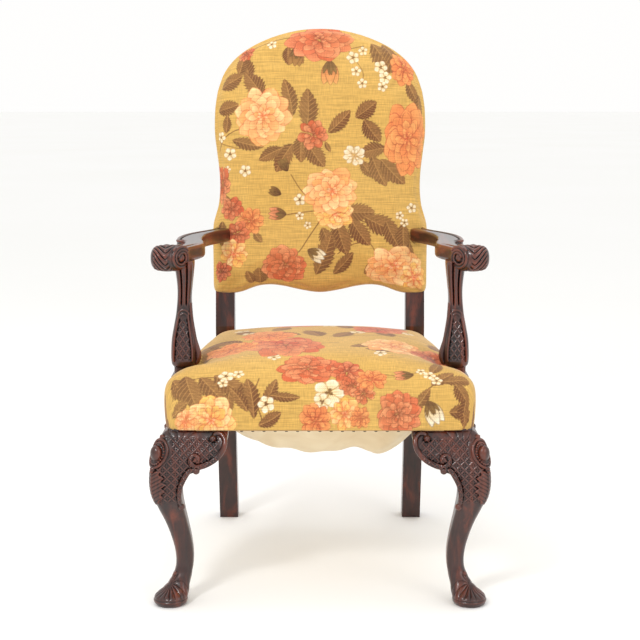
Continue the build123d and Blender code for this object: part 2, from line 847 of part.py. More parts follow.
with BuildPart() as back_stuffing:
    add(pad(cloth, 0))
    add(back_face(frame_inset, -stile_depth - 1))
    buried = stile_depth + 1 + 2 * web + hessian_thickness
    extrude(amount=buried, dir=back_plane.z_dir, mode=Mode.SUBTRACT)
    for piece in posts + arms:
        add(piece, mode=Mode.SUBTRACT)
save(back_stuffing.part, "back_stuffing")

with BuildPart() as back_cover:
    add(pad(0, 0))
    add(pad(cloth, 1), mode=Mode.SUBTRACT)
    for piece in posts + arms:
        add(piece, mode=Mode.SUBTRACT)
save(back_cover.part, "back_cover")

with BuildPart() as outside_back_cover:
    add(back_face(0, -stile_depth))
    extrude(amount=-cloth, dir=back_plane.z_dir)
save(outside_back_cover.part, "outside_back_cover")
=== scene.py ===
import bpy
import bmesh
import math
import numpy as np
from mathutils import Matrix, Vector


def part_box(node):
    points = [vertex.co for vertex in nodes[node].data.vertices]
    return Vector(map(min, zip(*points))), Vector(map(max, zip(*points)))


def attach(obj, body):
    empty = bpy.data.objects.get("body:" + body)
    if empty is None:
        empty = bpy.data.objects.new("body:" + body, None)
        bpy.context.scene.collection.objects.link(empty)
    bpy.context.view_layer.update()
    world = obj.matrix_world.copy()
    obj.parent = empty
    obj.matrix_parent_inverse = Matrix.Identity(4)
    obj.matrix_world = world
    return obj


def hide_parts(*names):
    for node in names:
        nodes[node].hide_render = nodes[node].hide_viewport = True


# An open armchair: carved mahogany show-wood with a stuffed seat and back in printed linen.
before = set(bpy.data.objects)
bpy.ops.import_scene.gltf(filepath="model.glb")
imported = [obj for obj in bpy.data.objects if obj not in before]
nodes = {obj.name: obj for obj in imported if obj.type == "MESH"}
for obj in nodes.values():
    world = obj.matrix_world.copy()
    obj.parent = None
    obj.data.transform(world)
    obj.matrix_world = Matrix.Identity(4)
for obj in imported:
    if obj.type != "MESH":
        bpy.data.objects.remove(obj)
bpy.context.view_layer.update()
print("frame loaded")

# Places and sizes that every piece is built from, read from the frame
mm = 0.001
legLow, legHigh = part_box("front_leg_right")
railLow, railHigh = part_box("seat_rail_front")
skin = 1.2 * mm  # the boxes of the frame stand this far outside the toes and the knees
toeY = legLow.y + skin
kneeOut = legHigh.x - skin
legHeight = railLow.z
railTop = railHigh.z
railFaceY = railLow.y
postFaceY = railFaceY + 513 * mm
blockOut = kneeOut - 37.5 * mm  # outer face of the block on top of a front leg
postOut = 239.5 * mm
taper = math.atan2(blockOut - postOut, 461 * mm)  # slant of the side rails
lean = math.radians(9)
leanBase = 475 * mm  # height where the posts start to lean
clothGap = 4.2 * mm  # from a cover in to its stuffing


# Shared tools for shapes
def ease(low, high, value):
    t = np.clip((value - low) / (high - low), 0, 1)
    return t * t * (3 - 2 * t)


def curveThrough(points, count, closed=False):
    pts = np.array(points, float)
    n = len(pts)
    if closed:
        ext = np.vstack([pts[-1:], pts, pts[:2]])
        spans = n
    else:
        ext = np.vstack([2 * pts[:1] - pts[1:2], pts, 2 * pts[-1:] - pts[-2:-1]])
        spans = n - 1
    u = np.linspace(0, spans, count, endpoint=not closed)
    i = np.minimum(u.astype(int), spans - 1)
    t = (u - i)[:, None]
    a, b, c, d = ext[i], ext[i + 1], ext[i + 2], ext[i + 3]
    return 0.5 * (
        2 * b + (c - a) * t + (2 * a - 5 * b + 4 * c - d) * t**2 + (3 * b - a - 3 * c + d) * t**3
    )


def along(stations, column, value):
    # reads one column of a list of stations at any place, with no kinks
    fine = curveThrough(stations, 40 * len(stations))
    order = np.argsort(fine[:, 0])
    return np.interp(value, fine[order, 0], fine[order, column])


def closedRings(rings):
    # a skin over rings of points, closed at both ends
    rings = np.array(rings, float)
    rows, cols = rings.shape[:2]
    verts = np.vstack([rings.reshape(-1, 3), rings[0].mean(0)[None], rings[-1].mean(0)[None]])
    faces = []
    for r in range(rows - 1):
        for c in range(cols):
            d = (c + 1) % cols
            faces.append((r * cols + c, r * cols + d, (r + 1) * cols + d, (r + 1) * cols + c))
    first, last = rows * cols, rows * cols + 1
    for c in range(cols):
        d = (c + 1) % cols
        faces.append((d, c, first))
        faces.append(((rows - 1) * cols + c, (rows - 1) * cols + d, last))
    return verts, faces


def tube(path, radii, sides=12):
    # a rounded bar along a path, with a radius at each point
    path = np.array(path, float)
    radii = np.broadcast_to(np.array(radii, float), (len(path),)).copy()
    ahead = np.gradient(path, axis=0)
    ahead /= np.linalg.norm(ahead, axis=1)[:, None]
    side = np.cross(ahead[0], (0.31, 0.17, 0.93))
    angles = np.linspace(0, 2 * math.pi, sides, endpoint=False)
    rings = []
    start = path[0] - ahead[0] * radii[0] * 0.9
    finish = path[-1] + ahead[-1] * radii[-1] * 0.9
    for k, point in enumerate(path):
        side = side - ahead[k] * side.dot(ahead[k])
        side /= np.linalg.norm(side)
        up = np.cross(ahead[k], side)
        ring = np.cos(angles)[:, None] * side + np.sin(angles)[:, None] * up
        if k == 0:
            rings.append(start + ring * radii[0] * 0.4)
        rings.append(point + ring * radii[k])
        if k == len(path) - 1:
            rings.append(finish + ring * radii[-1] * 0.4)
    return closedRings(rings)


def pebble(centre, radii, axes=np.eye(3), rows=10, cols=16):
    # a smooth boss with its own three half-sizes, along three axes
    rings = []
    for k in range(1, rows):
        polar = math.pi * k / rows
        angles = np.linspace(0, 2 * math.pi, cols, endpoint=False)
        local = np.stack(
            [
                math.sin(polar) * np.cos(angles) * radii[0],
                math.sin(polar) * np.sin(angles) * radii[1],
                np.full(cols, math.cos(polar) * radii[2]),
            ],
            axis=1,
        )
        rings.append(np.array(centre) + local @ np.array(axes))
    return closedRings(rings)


def newPiece(name, verts, faces):
    mesh = bpy.data.meshes.new(name)
    mesh.from_pydata(np.asarray(verts).tolist(), [], [tuple(int(i) for i in f) for f in faces])
    mesh.update()
    piece = bpy.data.objects.new(name, mesh)
    bpy.context.scene.collection.objects.link(piece)
    return piece


def points(piece):
    co = np.empty(len(piece.data.vertices) * 3, np.float32)
    piece.data.vertices.foreach_get("co", co)
    return co.reshape(-1, 3).astype(float)


def normals(piece):
    no = np.empty(len(piece.data.vertices) * 3, np.float32)
    piece.data.vertices.foreach_get("normal", no)
    return no.reshape(-1, 3).astype(float)


def setPoints(piece, co):
    piece.data.vertices.foreach_set("co", np.asarray(co, np.float32).ravel())
    piece.data.update()


def edgePairs(piece):
    pairs = np.empty(len(piece.data.edges) * 2, np.int32)
    piece.data.edges.foreach_get("vertices", pairs)
    return pairs.reshape(-1, 2)


def squared(wave, power):
    # turns a circle's cosine or sine into that of a rounded square
    return np.sign(wave) * np.abs(wave) ** power


def averaged(values, pairs, rounds):
    # each round moves a value halfway to the mean of its neighbours
    values = np.array(values, float)
    flat = values.ndim == 1
    if flat:
        values = values[:, None]
    count = np.bincount(pairs.ravel(), minlength=len(values))[:, None]
    for _ in range(rounds):
        total = np.zeros_like(values)
        for axis in range(values.shape[1]):
            total[:, axis] = np.bincount(
                pairs[:, 0], values[pairs[:, 1], axis], len(values)
            ) + np.bincount(pairs[:, 1], values[pairs[:, 0], axis], len(values))
        values = 0.5 * values + 0.5 * total / np.maximum(count, 1)
    return values[:, 0] if flat else values


def fusedSolid(name, parts, voxel):
    # joins closed shapes into one even skin
    verts, faces, base = [], [], 0
    for v, f in parts:
        verts.append(np.asarray(v))
        faces += [tuple(i + base for i in face) for face in f]
        base += len(v)
    piece = newPiece(name, np.vstack(verts), faces)
    remesh = piece.modifiers.new("skin", "REMESH")
    remesh.mode = "VOXEL"
    remesh.voxel_size = voxel
    return applied(piece)


def applied(piece):
    graph = bpy.context.evaluated_depsgraph_get()
    graph.update()
    mesh = bpy.data.meshes.new_from_object(piece.evaluated_get(graph))
    old = piece.data
    piece.modifiers.clear()
    piece.data = mesh
    bpy.data.meshes.remove(old)
    mesh.polygons.foreach_set("use_smooth", np.ones(len(mesh.polygons), bool))
    return piece


def giveAttribute(piece, name, values, kind="FLOAT"):
    attribute = piece.data.attributes.new(name, kind, "POINT")
    key = {"FLOAT": "value", "FLOAT_VECTOR": "vector", "FLOAT_COLOR": "color"}[kind]
    attribute.data.foreach_set(key, np.asarray(values, np.float32).ravel())


def markHollows(piece, scale=1.2 * mm):
    # "hollow" runs from 0 on a worn ridge, through 0.5 on the flat, to 1 in a crevice
    pairs = edgePairs(piece)
    co = points(piece)
    near = averaged(co, pairs, 6)
    depth = ((near - co) * normals(piece)).sum(1)
    depth = averaged(depth, pairs, 2)
    giveAttribute(piece, "hollow", np.clip(0.5 + 0.5 * depth / (0.28 * scale), 0, 1))


def copied(piece, name):
    copy = piece.copy()
    copy.data = piece.data.copy()
    copy.name = name
    copy.data.name = name
    bpy.context.scene.collection.objects.link(copy)
    return copy


def mirrored(piece, name):
    copy = copied(piece, name)
    co = points(copy)
    co[:, 0] *= -1
    setPoints(copy, co)
    copy.data.flip_normals()
    return copy


def fitPair(right, leftName, *stems):
    # the left-hand piece is the right-hand one seen in a mirror
    for piece, side in ((right, "right"), (mirrored(right, leftName), "left")):
        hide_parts(*(f"{stem}_{side}" for stem in stems))
        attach(piece, "root")


def fitPad(piece, node):
    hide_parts(node)
    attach(piece, "root")


# Shared tools for materials
def linear(hexColour):
    parts = [int(hexColour[i : i + 2], 16) / 255 for i in (1, 3, 5)]
    return tuple(c / 12.92 if c <= 0.04045 else ((c + 0.055) / 1.055) ** 2.4 for c in parts)


def colour(hexColour):
    return (*linear(hexColour), 1)


def addNode(tree, kind, settings=None, links=None):
    node = tree.nodes.new("ShaderNode" + kind)
    for key, value in (settings or {}).items():
        if isinstance(key, int) or key in node.inputs:
            node.inputs[key].default_value = value
        else:
            setattr(node, key, value)
    for key, source in (links or {}).items():
        tree.links.new(source, node.inputs[key])
    return node


def newMaterial(name):
    material = bpy.data.materials.new(name)
    material.use_nodes = True
    material.node_tree.nodes.clear()
    return material, material.node_tree


def finishMaterial(tree, shader):
    addNode(tree, "OutputMaterial", links={"Surface": shader.outputs[0]})


def rampStops(node, stops):
    elements = node.color_ramp.elements
    while len(elements) < len(stops):
        elements.new(0.5)
    for element, (place, shade) in zip(elements, stops):
        element.position = place
        element.color = shade if len(shade) == 4 else (*shade, 1)


def clothe(piece, material):
    piece.data.materials.clear()
    piece.data.materials.append(material)


# Polished mahogany, cut, carved and French polished: straight dark pores along the grain,
# a red-brown body that is brighter on worn ridges, with painted shade that turns the crevices nearly
# black.
mahogany = {
    "dark": "#160604",
    "body": "#34120a",
    "bright": "#743016",
    # painted shade: the near-black colour laid into the crevices of the carving
    "paintedCreviceShade": "#040101",
    "roughness": 0.32,
    "coat": 0.35,
    "coatRoughness": 0.1,
    "figureSpacing": 26,  # mm between the broad stripes of the figure
    "poreSpacing": 1.6,  # mm; real pores are 0.2 mm wide, drawn coarser so that they show
}


def mahoganyMaterial(name, grain, carved):
    s = mahogany
    material, tree = newMaterial(name)
    place = addNode(tree, "TexCoord")
    stretch = [1, 1, 1]
    stretch[grain] = 0.09  # grain runs along this axis
    grainWay = addNode(
        tree, "Mapping", {"Scale": tuple(stretch)}, {"Vector": place.outputs["Object"]}
    )
    figure = addNode(
        tree,
        "TexNoise",
        {"Scale": 1000 / s["figureSpacing"], "Detail": 5.0, "Roughness": 0.55, "Distortion": 0.7},
        {"Vector": grainWay.outputs[0]},
    )
    tone = addNode(tree, "ValToRGB", links={"Fac": figure.outputs["Fac"]})
    rampStops(tone, [(0.32, colour(s["dark"])), (0.5, colour(s["body"])), (0.74, colour(s["bright"]))])
    pores = addNode(
        tree,
        "TexNoise",
        {"Scale": 1000 / s["poreSpacing"], "Detail": 2.0, "Roughness": 0.6},
        {"Vector": grainWay.outputs[0]},
    )
    pit = addNode(
        tree,
        "MapRange",
        {"From Min": 0.52, "From Max": 0.7, "To Min": 0.0, "To Max": 1.0},
        {"Value": pores.outputs["Fac"]},
    )
    darker = addNode(
        tree,
        "Mix",
        {"data_type": "RGBA", 7: colour(s["dark"])},
        {6: tone.outputs["Color"]},
    )
    weak = addNode(tree, "Math", {"operation": "MULTIPLY", 1: 0.5}, {0: pit.outputs[0]})
    tree.links.new(weak.outputs[0], darker.inputs[0])
    shade = darker.outputs[2]
    varied = {}
    if carved:
        hollow = addNode(tree, "Attribute", {"attribute_name": "hollow"})
        deep = addNode(
            tree,
            "MapRange",
            {"From Min": 0.51, "From Max": 0.86},
            {"Value": hollow.outputs["Fac"]},
        )
        worn = addNode(
            tree,
            "MapRange",
            {"From Min": 0.46, "From Max": 0.12, "To Max": 0.6},
            {"Value": hollow.outputs["Fac"]},
        )
        ridge = addNode(
            tree,
            "Mix",
            {"data_type": "RGBA", 7: colour(s["bright"])},
            {0: worn.outputs[0], 6: shade},
        )
        # painted shade: the colour darkens towards near black in the crevices, as if the deep carving lay
        # in shade
        paintedCreviceShade = addNode(
            tree,
            "Mix",
            {"data_type": "RGBA", 7: colour(s["paintedCreviceShade"])},
            {0: deep.outputs[0], 6: ridge.outputs[2]},
        )
        shade = paintedCreviceShade.outputs[2]
        # polish builds up on the ridges; the crevices stay dull and reflect little
        for entry, flat, sunk in (
            ("Roughness", s["roughness"], 0.65),
            ("Specular IOR Level", 0.5, 0.06),
            ("Coat Weight", s["coat"], 0.0),
        ):
            varied[entry] = addNode(
                tree,
                "MapRange",
                {"From Min": 0.5, "From Max": 0.9, "To Min": flat, "To Max": sunk},
                {"Value": hollow.outputs["Fac"]},
            ).outputs[0]
    bump = addNode(
        tree,
        "Bump",
        {"Strength": 0.12, "Distance": 0.0004, "invert": True},
        {"Height": pit.outputs[0]},
    )
    shader = addNode(
        tree,
        "BsdfPrincipled",
        {
            "Roughness": s["roughness"],
            "IOR": 1.5,
            "Coat Weight": s["coat"],
            "Coat Roughness": s["coatRoughness"],
        },
        {"Base Color": shade, "Normal": bump.outputs[0], **varied},
    )
    finishMaterial(tree, shader)
    return material


carvedUpright = mahoganyMaterial("polishedMahoganyUpright", 2, True)
carvedArmFinish = mahoganyMaterial("polishedMahoganyArm", 1, True)
plainUpright = mahoganyMaterial("polishedMahoganyPost", 2, False)
print("wood finishes made")

# Front legs with their carved knees. The ear stands where the knee brackets do.
knee = {
    "voxel": 0.85 * mm,
    "footSide": 69 * mm,
    "lattice": 16.5 * mm,  # spacing of the diagonal net
    "scroll": 4.5 * mm,  # thickness of the C-scrolls
    "ball": 6.2 * mm,
    "bossHeight": 311,  # mm over the floor
}
# share of the height, set-in of the outer face, side of the section, roundness
legStations = [
    (0.0, 5.5, 58.0, 0.49),
    (0.012, 2.0, 65.0, 0.49),
    (0.03, 0.4, 68.2, 0.49),
    (0.05, 4.5, 64.0, 0.49),
    (0.075, 17.0, 53.0, 0.48),
    (0.105, 28.0, 43.0, 0.46),
    (0.15, 37.5, 37.0, 0.42),
    (0.21, 43.8, 34.6, 0.38),
    (0.29, 43.0, 36.0, 0.34),
    (0.38, 36.5, 39.0, 0.3),
    (0.47, 27.0, 43.0, 0.27),
    (0.56, 14.5, 50.0, 0.25),
    (0.64, 4.0, 57.0, 0.24),
    (0.71, 0.3, 62.0, 0.24),
    (0.78, 1.0, 72.0, 0.24),
    (0.85, 4.5, 78.0, 0.22),
    (0.92, 13.0, 75.0, 0.18),
    (0.97, 22.0, 67.0, 0.14),
    (1.0, 30.0, 59.5, 0.12),
]
legTable = np.array(legStations)
footMiddle = kneeOut - knee["footSide"] / 2


def squareRing(side, roundness, angles):
    # distance from the middle out to a rounded square's edge, in each direction
    half = side / 2
    r = roundness * side
    dx, dy = np.abs(np.cos(angles)), np.abs(np.sin(angles))
    flat = half / np.maximum(dx, dy)
    inner = half - r
    dot = dx * inner + dy * inner
    corner = dot + np.sqrt(np.maximum(dot**2 - (2 * inner**2 - r**2), 0))
    onFlat = flat * np.minimum(dx, dy) <= inner
    return np.where(onFlat, flat, corner)


def legSection(z):
    share = z / legHeight
    setIn, side, roundness = (along(legTable, k, share) for k in (1, 2, 3))
    return setIn * mm, side * mm, roundness


def legBody():
    angles = np.linspace(0, 2 * math.pi, 96, endpoint=False)
    rings = []
    heights = np.concatenate([np.linspace(0, 0.12, 26), np.linspace(0.13, 1.0, 90)]) * legHeight
    for z in heights:
        setIn, side, roundness = legSection(z)
        reach = squareRing(side, roundness, angles)
        x = kneeOut - setIn - side / 2 + reach * np.cos(angles)
        y = toeY + setIn + side / 2 + reach * np.sin(angles)
        rings.append(np.stack([x, y, np.full_like(x, z)], 1))
    block = rings[-1].copy()
    middle = np.array([blockOut - 26 * mm, railFaceY + 26 * mm])
    reach = squareRing(51.6 * mm, 0.1, angles)
    block[:, 0] = middle[0] + reach * np.cos(angles)
    block[:, 1] = middle[1] + reach * np.sin(angles)
    for z in (legHeight + 0.3 * mm, railTop - 0.5 * mm):
        ring = block.copy()
        ring[:, 2] = z
        rings.append(ring)
    return closedRings(rings)


# the ear's edge: distance from the middle of the foot, height below the rail
earEdge = [(88, 34), (79, 47), (76.5, 57), (69.5, 70), (60, 88), (48, 100), (33, 110), (19, 116), (0, 118)]


def earReach(z):
    below = (legHeight - z) / mm
    drops = np.array([e[0] for e in earEdge][::-1], float)
    reaches = np.array([e[1] for e in earEdge][::-1], float)
    return np.interp(below, drops, reaches) * mm


def kneeFace(s, z):
    # how far behind the toe the carved face lies, at a distance along the ear and a height
    setIn = along(legTable, 1, np.clip(z / legHeight, 0, 1)) * mm
    return np.maximum(setIn, 1.5 * mm + 13 * mm * ease(30 * mm, 118 * mm, s))


def earBody():
    rings = []
    low = legHeight - 88 * mm
    for z in np.linspace(low, legHeight - 0.3 * mm, 40):
        end = earReach(z)
        s = np.linspace(14 * mm, end - 5 * mm, 22)
        front = kneeFace(s, z)
        tip = np.linspace(0, math.pi / 2, 5)[1:]
        tipS = end - 5 * mm + 5 * mm * np.sin(tip)
        tipY = front[-1] + 5 * mm - 5 * mm * np.cos(tip)
        back = 56 * mm
        ringS = np.concatenate([s, tipS, [end, end - 2 * mm, 14 * mm]])
        ringY = np.concatenate([front, tipY, [back - 2 * mm, back, back]])
        rings.append(np.stack([footMiddle - ringS, toeY + ringY, np.full_like(ringS, z)], 1))
    return closedRings(rings)


def acrossDiagonal(verts):
    # the front face's carving is repeated on the side face, turned about the corner
    out = np.array(verts, float)
    out[:, 0] = kneeOut - (verts[:, 1] - toeY)
    out[:, 1] = toeY + (kneeOut - verts[:, 0])
    return out


def onKnee(route, lift):
    route = np.array(route, float) * mm
    y = toeY + kneeFace(route[:, 0], route[:, 1]) - lift
    return np.stack([footMiddle - route[:, 0], y, route[:, 1]], 1)


def kneeCarving():
    parts = []
    r = knee["scroll"]
    ear = [(89, 339), (93, 347), (104, 347), (112, 337), (110, 321), (102, 308), (90, 297), (74, 289)]
    ear += [(60, 286), (49, 291), (46, 301), (52, 308), (60, 305), (60, 298), (55, 297)]
    route = curveThrough(ear, 90)
    thin = np.interp(np.linspace(0, 1, 90), [0, 0.1, 0.5, 0.8, 1], [0.75, 0.95, 1.25, 1, 0.8])
    parts.append(tube(onKnee(route, 1.2 * mm), r * thin))
    leg = [(57, 279), (50, 282), (42, 277), (33, 263), (26, 246), (23.5, 230), (23.5, 216), (26, 207)]
    route = curveThrough(leg, 60)
    thin = np.interp(np.linspace(0, 1, 60), [0, 0.4, 1], [0.8, 1.15, 0.75])
    parts.append(tube(onKnee(route, 1.0 * mm), r * thin))
    for place, size in (((89, 339), 1.1), ((57, 279), 1.15), ((27, 205), 1.1), ((55, 300), 0.9)):
        parts.append(pebble(onKnee([place], 1.8 * mm)[0], [knee["ball"] * size] * 3))
    return parts


def cornerPoint(z, lift):
    setIn, side, roundness = legSection(z)
    reach = squareRing(side, roundness, np.array([-math.pi / 4]))[0] + lift
    x = kneeOut - setIn - side / 2 + reach * math.cos(math.pi / 4)
    y = toeY + setIn + side / 2 - reach * math.cos(math.pi / 4)
    return np.array([x, y, z])


def cornerCarving():
    # a polished oval boss on the corner of the knee, in a ring of beads inside a raised rim
    parts = []
    out = np.array([1, -1, 0]) / math.sqrt(2)
    acrossAxis = np.array([1, 1, 0]) / math.sqrt(2)
    upAxis = np.array([0, 0, 1])
    z0 = knee["bossHeight"]
    middle = cornerPoint(z0 * mm, -1 * mm)
    parts.append(pebble(middle, (13 * mm, 16.5 * mm, 11 * mm), [acrossAxis, upAxis, out], 14, 28))

    def onOval(wide, tall, angle, lift):
        z = z0 * mm + tall * math.sin(angle)
        base = cornerPoint(z, lift)
        sideways = wide * math.cos(angle)
        return base + acrossAxis * sideways - out * abs(sideways) ** 2 * 19

    for k in range(24):
        angle = 2 * math.pi * k / 24
        bead = onOval(16.5 * mm, 20.5 * mm, angle, 0.2 * mm)
        parts.append(pebble(bead, [2.2 * mm] * 3, rows=6, cols=8))
    turn = np.linspace(0, 2 * math.pi, 80)
    parts.append(tube([onOval(22 * mm, 26.5 * mm, a, 0.2 * mm) for a in turn], 2.6 * mm, 10))
    for z, size in ((341, 0.9), (281, 1.0)):
        parts.append(pebble(cornerPoint(z * mm, 0), [knee["ball"] * size] * 3))
    return parts


def net(u, v, pitch):
    # a diagonal net of fine ridges, with a four-petalled cut in each mesh
    a = (u + v) / pitch
    b = (u - v) / pitch
    da = np.abs(a - np.round(a))
    db = np.abs(b - np.round(b))
    ridge = np.exp(-((np.minimum(da, db) / 0.085) ** 2))
    ca, cb = a - np.floor(a) - 0.5, b - np.floor(b) - 0.5
    rho = np.hypot(ca, cb)
    phi = np.arctan2(cb, ca)
    petal = np.exp(-(((rho - 0.2) / 0.1) ** 2)) * np.abs(np.cos(2 * phi)) ** 1.5
    return ridge - 0.8 * petal


def kneeRelief(s, z):
    # height of the carving on a face of the knee; s and z in mm
    inZone = ease(207, 222, z) * (1 - ease(336, 344, z)) * (1 - ease(44, 56, s) * (z < 284))
    inZone = inZone * (1 - ease(96, 106, s))
    height = inZone * (-0.9 + 1.05 * net(s, z, knee["lattice"] / mm))
    fan = ease(332, 340, z) * (1 - ease(349, 352, z))
    angle = np.arctan2(z - 318, s - 22)
    height += fan * (1.3 * np.abs(np.sin(angle * 7.5)) ** 0.6 - 0.5) * (1 - ease(60, 75, s))
    return height


def cornerRelief(c, z):
    # an acanthus leaf that hangs down the corner of the leg below the knee; c is across it
    t = np.clip((282 - z) / 74, 0, 1)
    half = 19 * np.sin(math.pi * np.clip(t * 0.82 + 0.14, 0, 1)) ** 0.8
    lobes = half * (1 + 0.13 * np.sin(t * 34))
    inside = ease(1.5, -1.5, np.abs(c) - lobes) * ease(280, 276, z) * ease(206, 212, z)
    vein = np.abs(np.sin((np.abs(c) * 0.75 + (282 - z)) * 0.42))
    rib = np.exp(-((c / 1.8) ** 2))
    return inside * (1.5 + 0.9 * vein + 1.0 * rib), inside


def footRelief(x, y, z):
    # leaf blades that spread from the ankle over the foot to the toe
    phi = np.arctan2(y - (toeY + knee["footSide"] / 2), x - footMiddle)
    band = ease(13, 20, z) * (1 - ease(50, 64, z))
    blades = np.abs(np.sin(phi * 8 + 0.25 * np.sin(z / 9))) ** 0.55
    rim = np.exp(-(((z - 12.5) / 1.6) ** 2))
    return band * (1.5 * blades - 0.6) - 0.9 * rim


def carvedLeg():
    parts = [legBody()]
    ear = earBody()
    parts += [ear, (acrossDiagonal(ear[0]), ear[1])]
    for v, f in kneeCarving():
        parts += [(v, f), (acrossDiagonal(v), f)]
    parts += cornerCarving()
    parts.append(pebble(cornerPoint(58 * mm, 0.5 * mm), [4.2 * mm] * 3))
    piece = fusedSolid("carvedFrontLegRight", parts, knee["voxel"])
    pairs = edgePairs(piece)
    setPoints(piece, averaged(points(piece), pairs, 2))
    co, no = points(piece), normals(piece)
    frontS = (footMiddle - co[:, 0]) / mm
    sideS = (co[:, 1] - (toeY + knee["footSide"] / 2)) / mm
    z = co[:, 2] / mm
    frontWeight = ease(0.35, 0.75, -no[:, 1]) * (co[:, 1] < toeY + 40 * mm)
    sideWeight = ease(0.35, 0.75, no[:, 0]) * (co[:, 0] > kneeOut - 40 * mm)
    total = np.maximum(frontWeight + sideWeight, 1)
    height = (frontWeight * kneeRelief(frontS, z) + sideWeight * kneeRelief(sideS, z)) / total
    c = ((co[:, 0] - footMiddle) + (co[:, 1] - toeY - knee["footSide"] / 2)) / mm / math.sqrt(2)
    leaf, inside = cornerRelief(c, z)
    towards = ease(0.2, 0.6, (no[:, 0] - no[:, 1]) / math.sqrt(2))
    height = height * (1 - inside * towards) + leaf * towards
    height += footRelief(co[:, 0], co[:, 1], z)
    # the carved net stays off the boss and its rim
    boss = np.hypot(c / 24, (z - knee["bossHeight"]) / 29)
    height = height * np.where(z > 270, ease(0.95, 1.1, boss), 1)
    height = height * (z < 351)
    co += no * (height * mm)[:, None]
    # the side ear follows the slant of the seat rail
    past = np.maximum(co[:, 1] - (railFaceY + 52 * mm), 0)
    co[:, 0] -= past * math.tan(taper)
    setPoints(piece, co)
    markHollows(piece)
    return piece


legRight = carvedLeg()
clothe(legRight, carvedUpright)
fitPair(legRight, "carvedFrontLegLeft", "front_leg", "knee_bracket_front", "knee_bracket_side")
print("front legs carved", len(legRight.data.polygons))

# Rear posts
for side in ("left", "right"):
    clothe(nodes[f"rear_post_{side}"], plainUpright)

# Arms
arm = {
    "voxel": 1.1 * mm,
    "top": 700.5,
    "underside": 670,
    "eye": 7.5 * mm,  # the boss in the middle of the scroll
    "slant": 0.65,  # sideways run of the scroll's inner end for each mm behind its axis
    "rollBehind": 92,  # mm from the toes back to the axis of the rolled end
    "rollHeight": 684,
    "veins": 2.5,  # mm that the leaf carving stands up
}
# distance behind the toes, inner edge and outer edge from the chair's middle line
armStations = [
    (84, 280, 303), (92, 275, 303.5), (100, 269.5, 303), (110, 264, 301), (122, 261.5, 298),
    (140, 258, 291), (165, 250, 286), (190, 241, 283),
    (212, 236.5, 281.5), (232, 236, 281), (250, 238, 282), (262, 239, 284), (270, 239.5, 290),
    (278, 240, 296.5), (290, 242.5, 300), (318, 247, 302.5), (350, 250, 301), (380, 250.5, 297),
    (404, 249.5, 291.5), (430, 246, 283), (458, 239, 271.5), (490, 227, 256.5), (520, 214, 244.5),
    (545, 205.5, 240.5), (575, 203, 238), (602, 204, 236),
]


def armBody():
    table = curveThrough(armStations, 220)
    rings = []
    for y, xIn, xOut in table:
        wide = (xOut - xIn) / 2
        middle = (xOut + xIn) / 2
        low, high = arm["underside"], arm["top"]
        # the end at the front tips down into the scroll
        high -= 9 * float(ease(112, 88, y))
        low += 2 * float(ease(112, 88, y))
        tall, centre = (high - low) / 2, (high + low) / 2
        angles = np.linspace(0, 2 * math.pi, 44, endpoint=False)
        ringX = middle + wide * squared(np.cos(angles), 0.42)
        ringZ = centre + tall * squared(np.sin(angles), 0.42)
        rings.append(np.stack([ringX, np.full_like(ringX, y + toeY / mm), ringZ], 1))
    return closedRings(np.array(rings) * mm)


def armScroll():
    # the rolled end lies across the arm like a log, plump in the middle
    rings = []
    middleY, middleZ = arm["rollBehind"] + toeY / mm, float(arm["rollHeight"])
    stations = [
        (272.5, 15), (273, 20), (274.5, 23.4), (278, 25), (284, 25.5), (292, 25.6), (304, 25.4),
        (315, 24.4), (323, 21.6), (328, 16.5), (330.6, 9),
    ]
    angles = np.linspace(0, 2 * math.pi, 72, endpoint=False)
    for x, radius in curveThrough(stations, 60):
        behind = radius * np.cos(angles)
        # the inner end is cut on a slant, so that its coil is seen from the front
        slant = arm["slant"] * behind * (1 - ease(278, 308, np.full_like(angles, x)))
        rings.append(np.stack([x - slant, middleY + behind, middleZ + radius * np.sin(angles)], 1))
    return closedRings(np.array(rings) * mm)


def armExtras():
    parts = []
    rollY, rollZ = arm["rollBehind"] + toeY / mm, arm["rollHeight"]
    # the coil on the inner face of the scroll, and its eye
    turn = np.linspace(0, 2.35 * 2 * math.pi, 120)
    radius = np.interp(turn, [0, turn[-1]], [22.5, 9])
    behind = radius * np.cos(turn + 0.6)
    coil = np.stack(
        [
            272.0 - 2.0 * turn / turn[-1] - arm["slant"] * behind,
            rollY + behind,
            rollZ + radius * np.sin(turn + 0.6),
        ],
        1,
    )
    parts.append(tube(coil * mm, np.interp(turn, [0, turn[-1]], [3.2, 2.2]) * mm))
    eye = np.array([271.0, rollY, rollZ]) * mm
    facing = np.array([-1, -arm["slant"], 0]) / math.hypot(1, arm["slant"])
    aside = np.array([arm["slant"], -1, 0]) / math.hypot(1, arm["slant"])
    axes = [facing, aside, np.array([0, 0, 1])]
    parts.append(pebble(eye, [arm["eye"] * 0.6, arm["eye"], arm["eye"]], axes))
    # the moulded edge along the outside, which ends in a small hook at the front
    table = curveThrough(armStations, 220)
    rearPart = table[(table[:, 0] > 296) & (table[:, 0] < 575)]
    level = np.full(len(rearPart), 699.6)
    edge = np.column_stack([rearPart[:, 2] - 3.4, rearPart[:, 0], level])[::-1]
    hook = [
        (298, 286, 699.4), (297, 275, 699), (291, 269, 698.8), (284, 272, 699), (283, 279, 699.4),
        (288, 283, 700),
    ]
    route = np.vstack([edge[::6], np.array(hook, float)])
    route = curveThrough(route, 150)
    route[:, 1] += toeY / mm
    parts.append(tube(route * mm, np.interp(np.arange(150), [0, 110, 149], [2.2, 3.0, 2.0]) * mm))
    # a rib that springs from the coil and runs back over the shoulder
    ribStops = [
        (284, 74, 701), (278, 92, 708), (272, 112, 705), (272, 140, 701.6), (262, 176, 700.8),
        (250, 214, 700.5),
    ]
    rib = curveThrough(ribStops, 60)
    rib[:, 1] += toeY / mm
    parts.append(tube(rib * mm, np.interp(np.arange(60), [0, 20, 59], [2.6, 2.8, 0.9]) * mm))
    return parts


